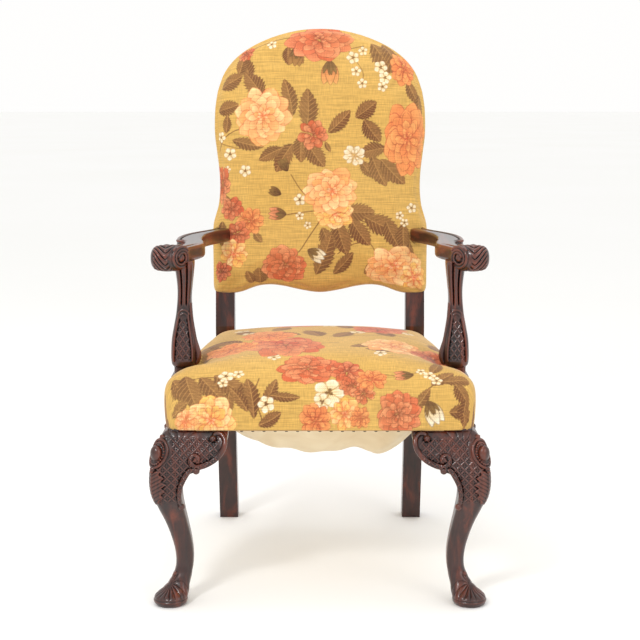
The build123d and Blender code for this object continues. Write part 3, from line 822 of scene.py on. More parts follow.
def carvedArm():
    piece = fusedSolid("carvedArmRight", [armBody(), armScroll(), *armExtras()], arm["voxel"])
    pairs = edgePairs(piece)
    setPoints(piece, averaged(points(piece), pairs, 3))
    co, no = points(piece), normals(piece)
    x, y, z = co[:, 0] / mm, (co[:, 1] - toeY) / mm, co[:, 2] / mm
    up, behind = z - arm["rollHeight"], y - arm["rollBehind"]
    angle = np.arctan2(up, -behind)  # 0 at the front, a quarter turn at the top
    ring = np.hypot(up, behind)
    onScroll = ease(19, 22, ring) * ease(31, 28, ring) * (1 - ease(108, 118, y))
    onScroll = onScroll * ease(277, 281, x + arm["slant"] * behind)
    # acanthus leaves that part along a middle rib and sweep out to both ends
    sideways = x - 300
    sweep = (np.abs(sideways) / 26) ** 1.35 * 2.9 - angle * 2.1
    vein = np.abs(np.sin(sweep * math.pi)) ** 0.6
    tipLobes = 0.4 * np.abs(np.sin(sweep * math.pi * 3))
    ridge = np.exp(-((sideways / 4.5) ** 2))
    height = onScroll * (arm["veins"] * (vein + 0.35 * tipLobes) - 2.0 + 0.9 * ridge)
    # small leaves that run back from the scroll over the wrist
    wrist = ease(104, 112, y) * (1 - ease(142, 160, y)) * ease(0.4, 0.8, no[:, 2]) * ease(272, 276, x)
    height += wrist * 1.3 * (np.abs(np.sin((y * 0.09 + np.abs(x - 286) * 0.16) * math.pi)) - 0.4)
    # a sunk line inside the moulded edge
    table = curveThrough(armStations, 220)
    outer = np.interp(y, table[:, 0], table[:, 2])
    line = np.exp(-(((outer - x - 9.5) / 1.8) ** 2)) * (no[:, 2] > 0.5) * ease(288, 300, y) * (y < 580)
    height -= 1.3 * line
    co += no * (height * mm)[:, None]
    setPoints(piece, co)
    markHollows(piece)
    return piece


armRight = carvedArm()
clothe(armRight, carvedArmFinish)
fitPair(armRight, "carvedArmLeft", "arm")
print("arms carved", len(armRight.data.polygons))

# Arm supports
support = {
    "voxel": 0.9 * mm,
    "foot": 466,  # height where the carved part ends above its foot block
    "archHeight": 577,
    "panelLow": 480,
    "netSpacing": 13,
}
# height, inner face, outer face, front and back behind the toes
supportStations = [
    (462, 256, 290, 112, 160), (465, 250.5, 294.5, 107.5, 165.5), (470, 248.2, 297, 105, 168),
    (482, 247.2, 298, 104, 168.5), (500, 247.6, 297.6, 105.5, 166), (520, 250, 296, 108.5, 161),
    (545, 253.6, 291.5, 113.5, 158), (570, 256, 287, 118.5, 156.5), (600, 256.5, 284, 119, 154),
    (625, 254, 283.5, 113.5, 152.5), (650, 251, 285.5, 106, 151), (668, 249, 288, 99, 152),
    (676, 249, 289, 97, 153),
]


def supportBody():
    angles = np.linspace(0, 2 * math.pi, 72, endpoint=False)
    rings = []
    for z, xIn, xOut, yFront, yBack in curveThrough(supportStations, 110):
        ringX = (xIn + xOut) / 2 + (xOut - xIn) / 2 * squared(np.cos(angles), 0.5)
        ringY = (yFront + yBack) / 2 + (yBack - yFront) / 2 * squared(np.sin(angles), 0.5)
        rings.append(np.stack([ringX, ringY + toeY / mm, np.full_like(ringX, z)], 1))
    return closedRings(np.array(rings) * mm)


def supportRoutes():
    # moulded borders of the sunk panel, the arches above it and the scroll beside it
    table = curveThrough(supportStations, 110)

    def face(x, z, lift):
        return (x, float(np.interp(z, table[:, 0], table[:, 3])) - lift + toeY / mm, z)

    def inner(z):
        return float(np.interp(z, table[:, 0], table[:, 1]))

    def outer(z):
        return float(np.interp(z, table[:, 0], table[:, 2]))

    parts = []
    for drop, thick in ((0, 1.9), (7, 1.6)):
        top = support["archHeight"] - drop
        arch = []
        for k in range(13):
            a = math.pi * k / 12
            half = (outer(top) - inner(top)) / 2 - 5 - 0.3 * drop
            middle = (outer(top) + inner(top)) / 2
            arch.append(face(middle - half * math.cos(a), top - 9 + 9 * math.sin(a), -0.4))
        parts.append(tube(curveThrough(arch, 50) * mm, thick * mm))
    for side in (0, 1):
        run = []
        for z in np.linspace(support["panelLow"] - 4, support["archHeight"] - 10, 18):
            x = inner(z) + 6.5 if side == 0 else outer(z) - 6.5
            run.append(face(x, z, -0.6))
        parts.append(tube(curveThrough(run, 50) * mm, 1.9 * mm))
    # the scroll that swells from the inner edge low down
    strip = [(inner(z) + 1.0, z) for z in (590, 560, 535, 515)]
    strip += [(246.5, 500), (243.6, 488), (243.8, 477), (247.5, 470), (252, 473), (252.5, 480)]
    strip.append((249, 484))
    path = curveThrough([(x, 121 + toeY / mm, z) for x, z in strip], 90)
    parts.append(tube(path * mm, np.interp(np.arange(90), [0, 50, 89], [2.2, 5.4, 3.6]) * mm))
    shadow = path + np.array([0, 18, 0])
    parts.append(tube(shadow * mm, np.interp(np.arange(90), [0, 50, 89], [2.0, 5.0, 3.4]) * mm))
    return parts


def footBlock():
    # stands on the seat rail, and laps down its outside behind the cover
    angles = np.linspace(0, 2 * math.pi, 40, endpoint=False)
    reach = squareRing(34 * mm, 0.16, angles)
    rings = []
    for z in (railTop + 0.1 * mm, 470 * mm):
        rings.append(
            np.stack(
                [
                    274.5 * mm + reach * 1.0 * np.cos(angles),
                    toeY + 136 * mm + reach * 1.45 * np.sin(angles),
                    np.full_like(angles, z),
                ],
                1,
            )
        )
    lap = []
    for z in (366 * mm, railTop + 6 * mm):
        corners = [(287.5, 108), (296.6, 108), (296.6, 164), (284.2, 164)]
        lap.append([(x * mm, toeY + y * mm, z) for x, y in corners])
    return [closedRings(rings), closedRings(lap)]


def carvedSupport():
    parts = [supportBody(), *footBlock(), *supportRoutes()]
    piece = fusedSolid("carvedArmSupportRight", parts, support["voxel"])
    pairs = edgePairs(piece)
    setPoints(piece, averaged(points(piece), pairs, 2))
    co, no = points(piece), normals(piece)
    x, z = co[:, 0] / mm, co[:, 2] / mm
    table = curveThrough(supportStations, 110)
    xIn = np.interp(z, table[:, 0], table[:, 1])
    xOut = np.interp(z, table[:, 0], table[:, 2])
    sideways = (x - (xIn + xOut) / 2) / ((xOut - xIn) / 2)
    facing = ease(0.25, 0.7, -no[:, 1])
    # three reeds parted by two deep grooves run up to the arm
    reeds = facing * ease(support["archHeight"] + 4, support["archHeight"] + 16, z)
    groove = np.exp(-(((np.abs(sideways) - 0.36) / 0.1) ** 2))
    swell = np.cos(np.clip(np.abs(sideways), 0, 1) * math.pi / 0.72 * 2) * 0.4
    height = reeds * (-3.4 * groove + swell)
    # the panel lies deeper than its borders, with a carved net in it
    half = (xOut - xIn) / 2 - 8.5
    sunk = facing * ease(1.02, 0.86, np.abs(x - (xIn + xOut) / 2) / half)
    sunk *= ease(support["panelLow"] - 6, support["panelLow"] + 2, z)
    sunk *= 1 - ease(support["archHeight"] - 22, support["archHeight"] - 14, z)
    height += sunk * (-1.7 + 0.85 * net(x, z * 0.7, support["netSpacing"]))
    height *= z > support["foot"] + 4
    co += no * (height * mm)[:, None]
    setPoints(piece, co)
    markHollows(piece)
    return piece


supportRight = carvedSupport()
clothe(supportRight, carvedUpright)
fitPair(supportRight, "carvedArmSupportLeft", "arm_support")
print("arm supports carved", len(supportRight.data.polygons))

# The printed linen
# Linen with slubs, screen printed with garden flowers of a general kind. The eye sees an
# ochre ground with thicker threads in both directions, and soft-edged, slightly faded inks.
linen = {
    "ground": "#cea353",
    "groundPale": "#deb870",
    "threadSpacing": 1.5,  # mm; the real threads lie 0.6 mm apart, drawn coarser so they show
    "roughness": 0.88,
    "brown": "#6b4021",
    "brownPale": "#b58347",
    "olive": "#8a6a35",
    "coral": "#d85c36",
    "coralPale": "#f09c6a",
    "red": "#ad3b26",
    "wine": "#7c2418",
    "orange": "#e8884a",
    "peach": "#f4ae64",
    "yellow": "#f2c25c",
    "cream": "#fbe2a2",
    "white": "#f6eed6",
}


def newCloth(u, v):
    shade = np.tile(np.array(linear(linen["ground"])), (len(u), 1))
    return {"u": u, "v": v, "shade": shade}


def ink(name):
    return np.array(linear(linen[name]))


def lay(cloth, where, cover, shade):
    cover = np.clip(cover, 0, 1)[:, None]
    cloth["shade"][where] = cloth["shade"][where] * (1 - cover) + shade * cover


def blade(cloth, x, y, turn, length, width, root, tip, line, bend=0.0, teeth=0, veins=0, wide=0.5):
    # one petal or leaf: it starts at x, y and points along turn, in degrees
    reach = length * 1.15 + width
    near = np.flatnonzero((np.abs(cloth["u"] - x) < reach) & (np.abs(cloth["v"] - y) < reach))
    if not len(near):
        return
    dx, dy = cloth["u"][near] - x, cloth["v"][near] - y
    c, s = math.cos(math.radians(turn)), math.sin(math.radians(turn))
    p = (dx * c + dy * s) / length
    q = (-dx * s + dy * c) - bend * length * np.clip(p, 0, 1.1) ** 2
    t = np.clip(p, 0, 1)
    half = 0.5 * width * np.sin(math.pi * t ** (math.log(0.5) / math.log(wide))) ** 0.75
    if teeth:
        half = half * (1 + 0.3 * (np.mod(t * teeth, 1) - 0.5))
    gap = half - np.abs(q)
    inside = (p > 0) & (p < 1)
    cover = np.where(inside, ease(-0.9, 0.7, gap), 0)
    shade = root[None] * (1 - t[:, None]) + tip[None] * t[:, None]
    edge = ease(2.2, 0.4, gap) * 0.74
    streak = 0.62 * np.sin(q * 1.3 + t * 3) ** 2 * (1 - t) ** 0.6
    dark = np.clip(edge + streak, 0, 1)
    if veins:
        fan = np.abs(np.sin((t * length - np.abs(q) * 0.9) * math.pi * veins / length))
        vein = ease(0.42, 0.1, fan) * (half > 1.6)
        rib = ease(1.4, 0.4, np.abs(q))
        # one half of the leaf catches the light
        pale = np.maximum(np.maximum(vein * 0.75, rib * 0.9), 0.28 * (q > 0))
        shade = shade * (1 - pale[:, None]) + ink("brownPale") * pale[:, None]
        dark = edge * 0.5
    shade = shade * (1 - dark[:, None]) + line[None] * dark[:, None]
    lay(cloth, near, cover, shade)


def leaf(cloth, x, y, turn, length, width=None, bend=0.12, shade="brown"):
    width = width or length * 0.46
    blade(
        cloth, x, y, turn, length, width, ink(shade), ink(shade) * 1.25, ink("brown") * 0.55,
        bend=bend, teeth=9, veins=9,
    )


def bloom(cloth, x, y, size, inks, seed, squash=1.0, rings=4):
    # a full flower: rings of petals laid from the outside in, deeper in colour at the heart
    rng = np.random.default_rng(seed)
    deep, middle, pale, line = (ink(i) for i in inks)
    keep = cloth["v"]
    cloth["v"] = y + (keep - y) / squash
    if size > 40:
        rings += 1
    for ring in range(rings):
        share = 1 - (0.84 / rings) * ring
        count = (13 if size > 40 else 9) - 2 * ring
        start = rng.uniform(0, 360)
        for k in range(count):
            turn = start + 360 * k / count + rng.uniform(-9, 9)
            root = size * share * 0.12
            sx = x + root * math.cos(math.radians(turn))
            sy = y + root * math.sin(math.radians(turn))
            tone = rng.uniform(0, 1)
            tip = pale * tone + middle * (1 - tone)
            base = deep * (0.75 - 0.1 * ring) + middle * (0.25 + 0.1 * ring)
            length = size * share * rng.uniform(0.82, 1.0)
            blade(
                cloth, sx, sy, turn, length, length * rng.uniform(0.55, 0.75),
                base, tip, line * 0.9, bend=rng.uniform(-0.15, 0.15), wide=0.66,
            )
    for k in range(7):
        turn = rng.uniform(0, 360)
        blade(
            cloth, x, y, turn, size * 0.2, size * 0.13, deep, pale, line,
            bend=rng.uniform(-0.3, 0.3), wide=0.6,
        )
    cloth["v"] = keep


def blossom(cloth, x, y, size, seed=0):
    # a small white flower with five petals and a brown eye
    start = seed * 37.0
    for k in range(5):
        turn = start + 72 * k
        blade(
            cloth, x, y, turn, size, size * 0.85, ink("cream"), ink("white"), ink("brownPale"),
            wide=0.66,
        )
    for k in range(3):
        turn = start + 120 * k
        blade(cloth, x, y, turn, size * 0.3, size * 0.22, ink("olive"), ink("brown"), ink("brown"))


def bud(cloth, x, y, turn, size, inks=("red", "coral", "coralPale", "brown")):
    deep, middle, pale, line = (ink(i) for i in inks)
    for offset in (-16, 14, 0):
        blade(cloth, x, y, turn + offset, size, size * 0.42, deep, pale, line, wide=0.5)
    for offset in (-34, 30, -8, 10):
        blade(
            cloth, x, y, turn + offset, size * 0.62, size * 0.17, ink("brown"), ink("olive"),
            ink("brown") * 0.6, bend=0.1 if offset < 0 else -0.1,
        )


def stem(cloth, route, width=2.2):
    path = curveThrough(route, 60)
    low, high = path.min(0) - 6, path.max(0) + 6
    near = np.flatnonzero(
        (cloth["u"] > low[0]) & (cloth["u"] < high[0]) & (cloth["v"] > low[1]) & (cloth["v"] < high[1])
    )
    if not len(near):
        return
    here = np.stack([cloth["u"][near], cloth["v"][near]], 1)
    gap = np.full(len(near), 99.0)
    for a, b in zip(path[:-1], path[1:]):
        step = b - a
        t = np.clip(((here - a) @ step) / (step @ step), 0, 1)
        gap = np.minimum(gap, np.hypot(*(here - a - t[:, None] * step).T))
    lay(cloth, near, ease(width * 0.5 + 0.6, width * 0.5 - 0.6, gap) * 0.9, ink("brown"))


peachInks = ("coral", "peach", "cream", "coral")
coralInks = ("red", "coral", "coralPale", "wine")
orangeInks = ("coral", "orange", "peach", "red")
yellowInks = ("coral", "yellow", "cream", "coral")


def backPrint(cloth):
    # stems and leaves first, then the flowers over them
    for spot in (
        ([(-240, 400), (-205, 440), (-150, 455), (-90, 450)], 2.2),
        ([(-235, 420), (-180, 405), (-140, 418)], 1.6),
        ([(0, 240), (-24, 205), (-46, 172), (-60, 165)], 2.6),
        ([(0, 238), (60, 250), (110, 235), (170, 225), (215, 190)], 2.6),
        ([(-66, 345), (-45, 312), (-22, 288)], 2.0), ([(-85, 252), (-50, 258), (-15, 262)], 2.2),
        ([(25, 600), (32, 616), (60, 630), (100, 640)], 2.0),
        ([(62, 632), (85, 600), (98, 575), (95, 550)], 1.6),
        ([(-160, 640), (-110, 655), (-60, 662)], 2.4),
        ([(40, 165), (70, 185), (110, 190), (128, 165)], 2.0),
    ):
        stem(cloth, *spot)
    for spot in (
        (-160, 560, 100, 62, 34), (-185, 575, 70, 54, 30), (-232, 545, 20, 62, 36),
        (-238, 492, 8, 54, 34), (-130, 520, 118, 70, 42), (-62, 478, 96, 86, 34),
        (-30, 448, 82, 92, 44), (18, 440, 38, 72, 32), (-40, 435, -100, 62, 38),
        (-62, 415, -128, 74, 40), (-30, 420, -62, 70, 40), (-85, 405, -160, 60, 30),
        (12, 420, -70, 26, 12), (-200, 425, -20, 74, 28), (-215, 440, 78, 42, 20),
        (80, 475, 30, 60, 38), (100, 470, -60, 62, 38), (150, 405, -175, 62, 36),
        (92, 378, -58, 52, 26), (118, 388, -72, 76, 40), (138, 380, -52, 78, 42),
        (118, 650, -58, 96, 50), (150, 660, -74, 88, 42), (200, 560, -70, 60, 28),
        (232, 530, -100, 70, 32), (-72, 638, -96, 44, 26), (-60, 640, -70, 48, 24),
        (50, 262, -8, 74, 40), (100, 250, -30, 86, 46), (70, 245, -62, 74, 42),
        (38, 240, -80, 80, 46), (150, 240, -70, 70, 38), (5, 225, -70, 60, 34),
        (190, 235, -95, 66, 34), (-10, 118, 62, 96, 44), (30, 120, 40, 66, 28),
        (-136, 92, 88, 42, 36), (-152, 96, 110, 34, 22), (205, 190, -100, 70, 30),
        (-215, 300, -80, 60, 28), (-222, 240, -100, 56, 28), (-150, 215, -60, 30, 18),
        (100, 120, 40, 40, 20), (-206, 190, -95, 46, 24),
    ):
        leaf(cloth, *spot)
    for x, y, size in (
        (-110, 645, 12), (75, 612, 15), (98, 628, 11), (82, 580, 12), (96, 552, 12), (138, 590, 16),
        (148, 566, 15), (142, 545, 12), (-228, 432, 13), (-205, 393, 15), (-170, 354, 14),
        (-212, 358, 9), (-46, 288, 14), (-46, 251, 10), (-28, 230, 9), (209, 270, 12), (181, 252, 10),
        (192, 236, 10), (60, 636, 9),
    ):
        blossom(cloth, x, y, size, seed=int(x))
    for spot in (
        (-74, 352, 118, 34, ("brown", "brownPale", "olive", "brown")),
        (-88, 300, 158, 30, ("brown", "brownPale", "olive", "brown")), (-76, 255, 178, 42),
        (22, 606, -88, 58, ("coral", "orange", "peach", "brown")),
        (-28, 175, -30, 44, ("yellow", "cream", "white", "brown")),
        (-50, 636, -100, 46, ("brown", "olive", "brownPale", "brown")),
    ):
        bud(cloth, *spot)
    for spot in (
        (0, 655, 76, coralInks, 3, 0.66), (-172, 628, 22, coralInks, 4),
        (192, 590, 34, orangeInks, 5, 1.3), (-130, 478, 62, peachInks, 6),
        (-16, 436, 34, coralInks, 7), (200, 428, 56, orangeInks, 8, 1.5),
        (78, 388, 24, ("yellow", "white", "white", "brownPale"), 9, 1.0, 2),
        (32, 256, 46, yellowInks, 10, 0.7), (28, 308, 62, peachInks, 11, 0.85),
        (-232, 325, 30, coralInks, 12, 1.4), (-202, 268, 28, coralInks, 13),
        (-158, 240, 30, orangeInks, 14), (-188, 212, 28, coralInks, 15),
        (-196, 165, 32, yellowInks, 16), (-226, 126, 24, coralInks, 17),
        (-80, 140, 50, coralInks, 18, 0.85), (168, 138, 66, peachInks, 19, 0.72),
        (215, 112, 34, yellowInks, 20),
    ):
        bloom(cloth, *spot)


def seatPrint(cloth):
    for spot in (
        ([(-290, 60), (-262, 100), (-200, 108), (-150, 80)], 2.4),
        ([(-110, 10), (-126, 60), (-118, 104)], 2.4),
        ([(165, 20), (196, 62), (232, 96), (285, 104)], 2.6),
        ([(105, 118), (150, 112), (190, 124)], 2.0),
        ([(-200, 250), (-120, 280), (-40, 270), (40, 290)], 2.6),
        ([(20, 360), (90, 380), (160, 400), (230, 380)], 2.6),
    ):
        stem(cloth, *spot)
    for spot in (
        (-292, 112, -62, 78, 42), (-262, 118, -80, 88, 46), (-232, 112, -60, 82, 40),
        (-205, 116, -48, 84, 42), (-150, 92, -78, 66, 34), (-128, 18, 92, 86, 30),
        (-140, 30, 118, 62, 24), (-112, 30, 62, 76, 26), (-100, 62, -12, 62, 20),
        (-296, 30, 20, 44, 26), (-120, 6, 20, 50, 24), (-175, 70, -100, 46, 22),
        (215, 88, 36, 62, 30), (240, 98, 8, 66, 34), (262, 92, -60, 60, 34), (250, 30, 4, 62, 34),
        (286, 60, -100, 56, 30), (215, 122, 60, 52, 26), (180, 30, 50, 60, 22),
        (-235, 225, 70, 96, 44), (-215, 260, 100, 96, 44), (-190, 235, 30, 90, 40),
        (0, 360, 100, 96, 46), (30, 350, 60, 90, 40), (-40, 380, 140, 90, 42),
        (60, 250, 20, 80, 34), (90, 232, -10, 90, 34), (180, 240, 10, 80, 36),
        (230, 320, 60, 90, 44), (150, 380, 100, 80, 40), (-150, 400, 100, 80, 40),
        (-100, 450, 60, 80, 40), (60, 500, 90, 80, 40), (160, 520, 60, 70, 40),
        (-60, 540, 120, 80, 40), (-160, 320, 150, 80, 40),
    ):
        leaf(cloth, *spot)
    for x, y, size in (
        (-182, 112, 16), (-158, 118, 12), (-188, 92, 11), (-104, 44, 17), (212, 116, 13), (226, 100, 12),
        (196, 128, 10), (-150, 420, 18), (80, 430, 18), (20, 560, 20), (-170, 480, 18), (190, 460, 16),
        (-90, 180, 14), (120, 200, 14),
    ):
        blossom(cloth, x, y, size, seed=int(x))
    blossom(cloth, 18, 68, 32, seed=2)
    blossom(cloth, 4, 48, 18, seed=4)
    bud(cloth, 182, 116, -172, 40)
    bud(cloth, 208, 52, -62, 50, ("yellow", "cream", "white", "brown"))
    for spot in (
        (-212, 16, 46, yellowInks, 30), (-262, 14, 24, peachInks, 31),
        (-24, 134, 60, coralInks, 32, 0.8), (52, 122, 34, coralInks, 33), (62, 84, 26, coralInks, 34),
        (84, 66, 24, coralInks, 35), (100, 100, 30, orangeInks, 36), (48, 26, 30, yellowInks, 37),
        (-8, 14, 32, orangeInks, 38), (78, 20, 20, orangeInks, 39), (152, 28, 44, coralInks, 40),
        (-70, 262, 76, coralInks, 41, 1.1), (-180, 270, 52, orangeInks, 42, 1.1),
        (150, 275, 62, peachInks, 43, 1.1), (225, 250, 42, coralInks, 44, 1.1),
        (-105, 375, 56, orangeInks, 45, 1.2), (130, 500, 62, coralInks, 46, 1.2),
        (-50, 600, 62, coralInks, 47, 1.2), (300, 200, 50, peachInks, 48),
        (-330, 250, 50, coralInks, 49),
    ):
        bloom(cloth, *spot)


def repeated(draw, shifts):
    # the same print again beyond its edges, as it comes off the roll
    def drawAll(cloth):
        for du, dv in shifts:
            cloth["u"] = cloth["u"] + du
            cloth["v"] = cloth["v"] + dv
            draw(cloth)
            cloth["u"] = cloth["u"] - du
            cloth["v"] = cloth["v"] - dv

    return drawAll


def linenMaterial(name, printed):
    s = linen
    material, tree = newMaterial(name)
    flat = addNode(tree, "Attribute", {"attribute_name": "flatCloth"})
    threads = []
    for stretch in ((1.0, 0.06, 1.0), (0.05, 1.0, 1.0)):
        way = addNode(tree, "Mapping", {"Scale": stretch}, {"Vector": flat.outputs["Vector"]})
        threads.append(
            addNode(
                tree,
                "TexNoise",
                {"Scale": 1 / s["threadSpacing"], "Detail": 3.0, "Roughness": 0.6},
                {"Vector": way.outputs[0]},
            )
        )
    both = addNode(
        tree,
        "Math",
        {"operation": "ADD"},
        {0: threads[0].outputs["Fac"], 1: threads[1].outputs["Fac"]},
    )
    # slubs: thicker threads every few centimetres, mostly across
    slubWay = addNode(
        tree, "Mapping", {"Scale": (0.012, 0.4, 1.0)}, {"Vector": flat.outputs["Vector"]}
    )
    slub = addNode(
        tree, "TexNoise", {"Scale": 1.0, "Detail": 2.0}, {"Vector": slubWay.outputs[0]}
    )
    slubShade = addNode(
        tree, "MapRange", {"From Min": 0.35, "From Max": 0.65, "To Min": 0.84, "To Max": 1.08},
        {"Value": slub.outputs["Fac"]},
    )
    threadShade = addNode(
        tree, "MapRange", {"From Min": 0.7, "From Max": 1.3, "To Min": 0.74, "To Max": 1.2},
        {"Value": both.outputs[0]},
    )
    tone = addNode(
        tree,
        "Math",
        {"operation": "MULTIPLY"},
        {0: slubShade.outputs[0], 1: threadShade.outputs[0]},
    )
    if printed:
        base = addNode(tree, "Attribute", {"attribute_name": "printInk"}).outputs["Color"]
    else:
        faded = addNode(tree, "TexNoise", {"Scale": 9.0, "Detail": 3.0})
        plain = addNode(tree, "ValToRGB", links={"Fac": faded.outputs["Fac"]})
        rampStops(plain, [(0.3, colour(s["ground"])), (0.7, colour(s["groundPale"]))])
        base = plain.outputs[0]
    shade = addNode(
        tree, "VectorMath", {"operation": "SCALE"}, {0: base, "Scale": tone.outputs[0]}
    )
    bump = addNode(
        tree, "Bump", {"Strength": 0.35, "Distance": 0.0006}, {"Height": both.outputs[0]}
    )
    shader = addNode(
        tree,
        "BsdfPrincipled",
        {"Roughness": s["roughness"], "IOR": 1.45, "Sheen Weight": 0.18, "Sheen Roughness": 0.5},
        {"Base Color": shade.outputs[0], "Normal": bump.outputs[0]},
    )
    finishMaterial(tree, shader)
    return material


printedLinen = linenMaterial("printedSlubLinen", True)


def printOn(piece, u, v, draw):
    cloth = newCloth(np.array(u, float), np.array(v, float))
    draw(cloth)
    pale = np.array(linear(linen["groundPale"]))
    worn = 0.5 + 0.5 * np.sin(u / 61.0) * np.sin(v / 47.0 + 1)
    shade = cloth["shade"] * (1 - 0.16 * worn[:, None]) + pale * 0.16 * worn[:, None]
    giveAttribute(piece, "printInk", np.hstack([shade, np.ones((len(u), 1))]), "FLOAT_COLOR")
    giveAttribute(piece, "flatCloth", np.stack([u, v, np.zeros_like(u)], 1), "FLOAT_VECTOR")


def puffed(piece, held, pressure, most):
    # swells the pad as its stuffing does, then keeps every point within a short way of its start
    start = points(piece)
    group = piece.vertex_groups.new(name="tacked")
    for weight in (0.6, 1.0):
        chosen = np.flatnonzero(held >= weight)
        group.add([int(i) for i in chosen], weight, "REPLACE")
    cloth = piece.modifiers.new("swell", "CLOTH")
    cloth.settings.quality = 4
    cloth.settings.mass = 0.25
    cloth.settings.tension_stiffness = 12
    cloth.settings.compression_stiffness = 12
    cloth.settings.shear_stiffness = 5
    cloth.settings.bending_stiffness = 0.6
    cloth.settings.use_pressure = True
    cloth.settings.uniform_pressure_force = pressure
    cloth.settings.vertex_group_mass = "tacked"
    cloth.settings.effector_weights.gravity = 0
    cloth.collision_settings.use_collision = False
    for f in range(1, 19):
        bpy.context.scene.frame_set(f)
    applied(piece)
    bpy.context.scene.frame_set(1)
    moved = points(piece) - start
    far = np.linalg.norm(moved, axis=1)[:, None]
    setPoints(piece, start + moved * np.minimum(1, most / np.maximum(far, 1e-9)))
    return piece


def keepFaces(piece, wanted):
    # drops the faces for which wanted(centre, normal) is false
    mesh = bmesh.new()
    mesh.from_mesh(piece.data)
    gone = [f for f in mesh.faces if not wanted(f.calc_center_median(), f.normal)]
    bmesh.ops.delete(mesh, geom=gone, context="FACES")
    mesh.to_mesh(piece.data)
    mesh.free()


def finer(piece, levels):
    divide = piece.modifiers.new("finer", "SUBSURF")
    divide.levels = levels
    divide.render_levels = levels
    applied(piece)


# Stuffed back
back = {
    "voxel": 5.6 * mm,
    "swell": 4.0,
    "most": 6 * mm,
    "thickness": 32.5 * mm,  # from the frame's face to the crown, before it swells
}
outlineHalf = [
    (0, 80), (44, 86), (80, 94), (112, 98), (140, 95.5), (160, 89), (178, 82), (197, 78.5), (222, 78.5),
    (239, 81), (243.5, 92), (244.5, 150), (245.5, 215), (243.5, 240), (238.5, 258), (232, 282),
    (229, 320), (231, 360), (236, 400), (241, 440), (241.5, 476), (239, 515), (231, 553), (215, 590),
    (190, 619), (160, 641), (126, 658), (90, 671), (46, 681), (0, 684),
]
leanUp = np.array([0, math.sin(lean), math.cos(lean)])
leanOut = np.array([0, -math.cos(lean), math.sin(lean)])
leanStart = np.array([0, postFaceY, leanBase])
rightSide = np.array(outlineHalf, float)
leftSide = rightSide[::-1][1:-1] * (-1, 1)
backOutline = curveThrough(np.vstack([rightSide, leftSide]), 420, closed=True)


def backRing(setIn, forward):
    middle = np.array([0, 382.0])
    factor = np.array([1 - setIn / 245.5, 1 - setIn / 302.0])
    flat = middle + (backOutline - middle) * factor
    return leanStart + mm * (
        flat[:, :1] * np.array([1.0, 0, 0]) + flat[:, 1:] * leanUp + forward * leanOut
    )


def backPlace(co):
    local = co - leanStart
    return local[:, 0] / mm, local @ leanUp / mm, local @ leanOut / mm


crown = back["thickness"] / mm
levels = [
    (1.5, -33.5), (-0.5, -31), (-1.0, -16), (-0.6, 0), (0.6, 0.3 * crown), (4, 0.5 * crown),
    (10, 0.7 * crown), (18, 0.82 * crown), (32, 0.91 * crown), (60, 0.96 * crown), (110, 0.99 * crown),
    (170, crown), (225, crown),
]
backCover = fusedSolid("backCover", [closedRings([backRing(d, f) for d, f in levels])], back["voxel"])
setPoints(backCover, averaged(points(backCover), edgePairs(backCover), 2))
x, h, f = backPlace(points(backCover))
held = np.where(f < -4, 1.0, np.where(f < 6, 0.6, 0.0))
puffed(backCover, held, back["swell"], back["most"])
x, h, f = backPlace(points(backCover))
# the stuffing is a little uneven, and the cloth pulls towards the corners of the bottom edge
uneven = 0.9 * np.sin(x / 57 + 1.1) * np.sin(h / 71) + 0.6 * np.sin(x / 31) * np.sin(h / 39 + 2)
pull = np.exp(-(((h - 96) / 26) ** 2)) * 0.8 * np.sin(x / 9.5) * (np.abs(x) < 236)
front = ease(8, 24, f)[:, None]
setPoints(backCover, points(backCover) + (front[:, 0] * (uneven + pull) * mm)[:, None] * leanOut)

backStuffing = copied(backCover, "backStuffing")
setPoints(backStuffing, points(backStuffing) - normals(backStuffing) * clothGap)

outsideBack = copied(backCover, "outsideBackCover")
backward = Vector(-leanOut)
start = Vector(leanStart)
keepFaces(backCover, lambda c, n: (c - start).dot(-backward) > -29 * mm)
keepFaces(outsideBack, lambda c, n: (c - start).dot(-backward) < -22 * mm)
finer(backCover, 2)
x, h, f = backPlace(points(backCover))
no = normals(backCover)
spread = np.clip(0.62 * crown - f, 0, 60)
out = np.stack([no[:, 0], no @ leanUp], 1)
out /= np.maximum(np.linalg.norm(out, axis=1), 0.3)[:, None]
printOn(backCover, x + out[:, 0] * spread, h + out[:, 1] * spread, backPrint)
clothe(backCover, printedLinen)
fitPad(backCover, "back_cover")
print("back covered", len(backCover.data.polygons))

finer(outsideBack, 1)
x, h, f = backPlace(points(outsideBack))
turned = repeated(backPrint, ((0, 0), (-490, 0), (0, -600), (-490, -600)))
printOn(outsideBack, 150 - x, h + 190, turned)
clothe(outsideBack, printedLinen)
fitPad(outsideBack, "outside_back_cover")

# Stuffed seat
seat = {
    "voxel": 6.0 * mm,
    "swell": 4.0,
    "most": 6 * mm,
    "lapFace": 293,  # mm from the middle to the cover beside the lap of an arm support
}
seatHalf = [
    (0, 21.5), (120, 21.5), (235, 21.7), (270, 22.2), (288, 25.5), (298.5, 35), (302.8, 52),
    (299.5, 90), (288.5, 188), (274, 315), (259.5, 440), (248.5, 528),
]
notch = [(247, 541.5), (195.6, 541.8), (195.4, 560), (195.2, 586.5), (120, 587), (0, 587)]
seatSmooth = curveThrough(seatHalf, 150)
corners = [seatSmooth[-1], *np.array(notch, float)]
straight = [np.linspace(a, b, 12)[1:] for a, b in zip(corners[:-1], corners[1:])]
rightEdge = np.vstack([seatSmooth, *straight])
leftEdge = rightEdge[::-1][1:-1] * (-1, 1)
seatOutline = np.vstack([rightEdge, leftEdge])


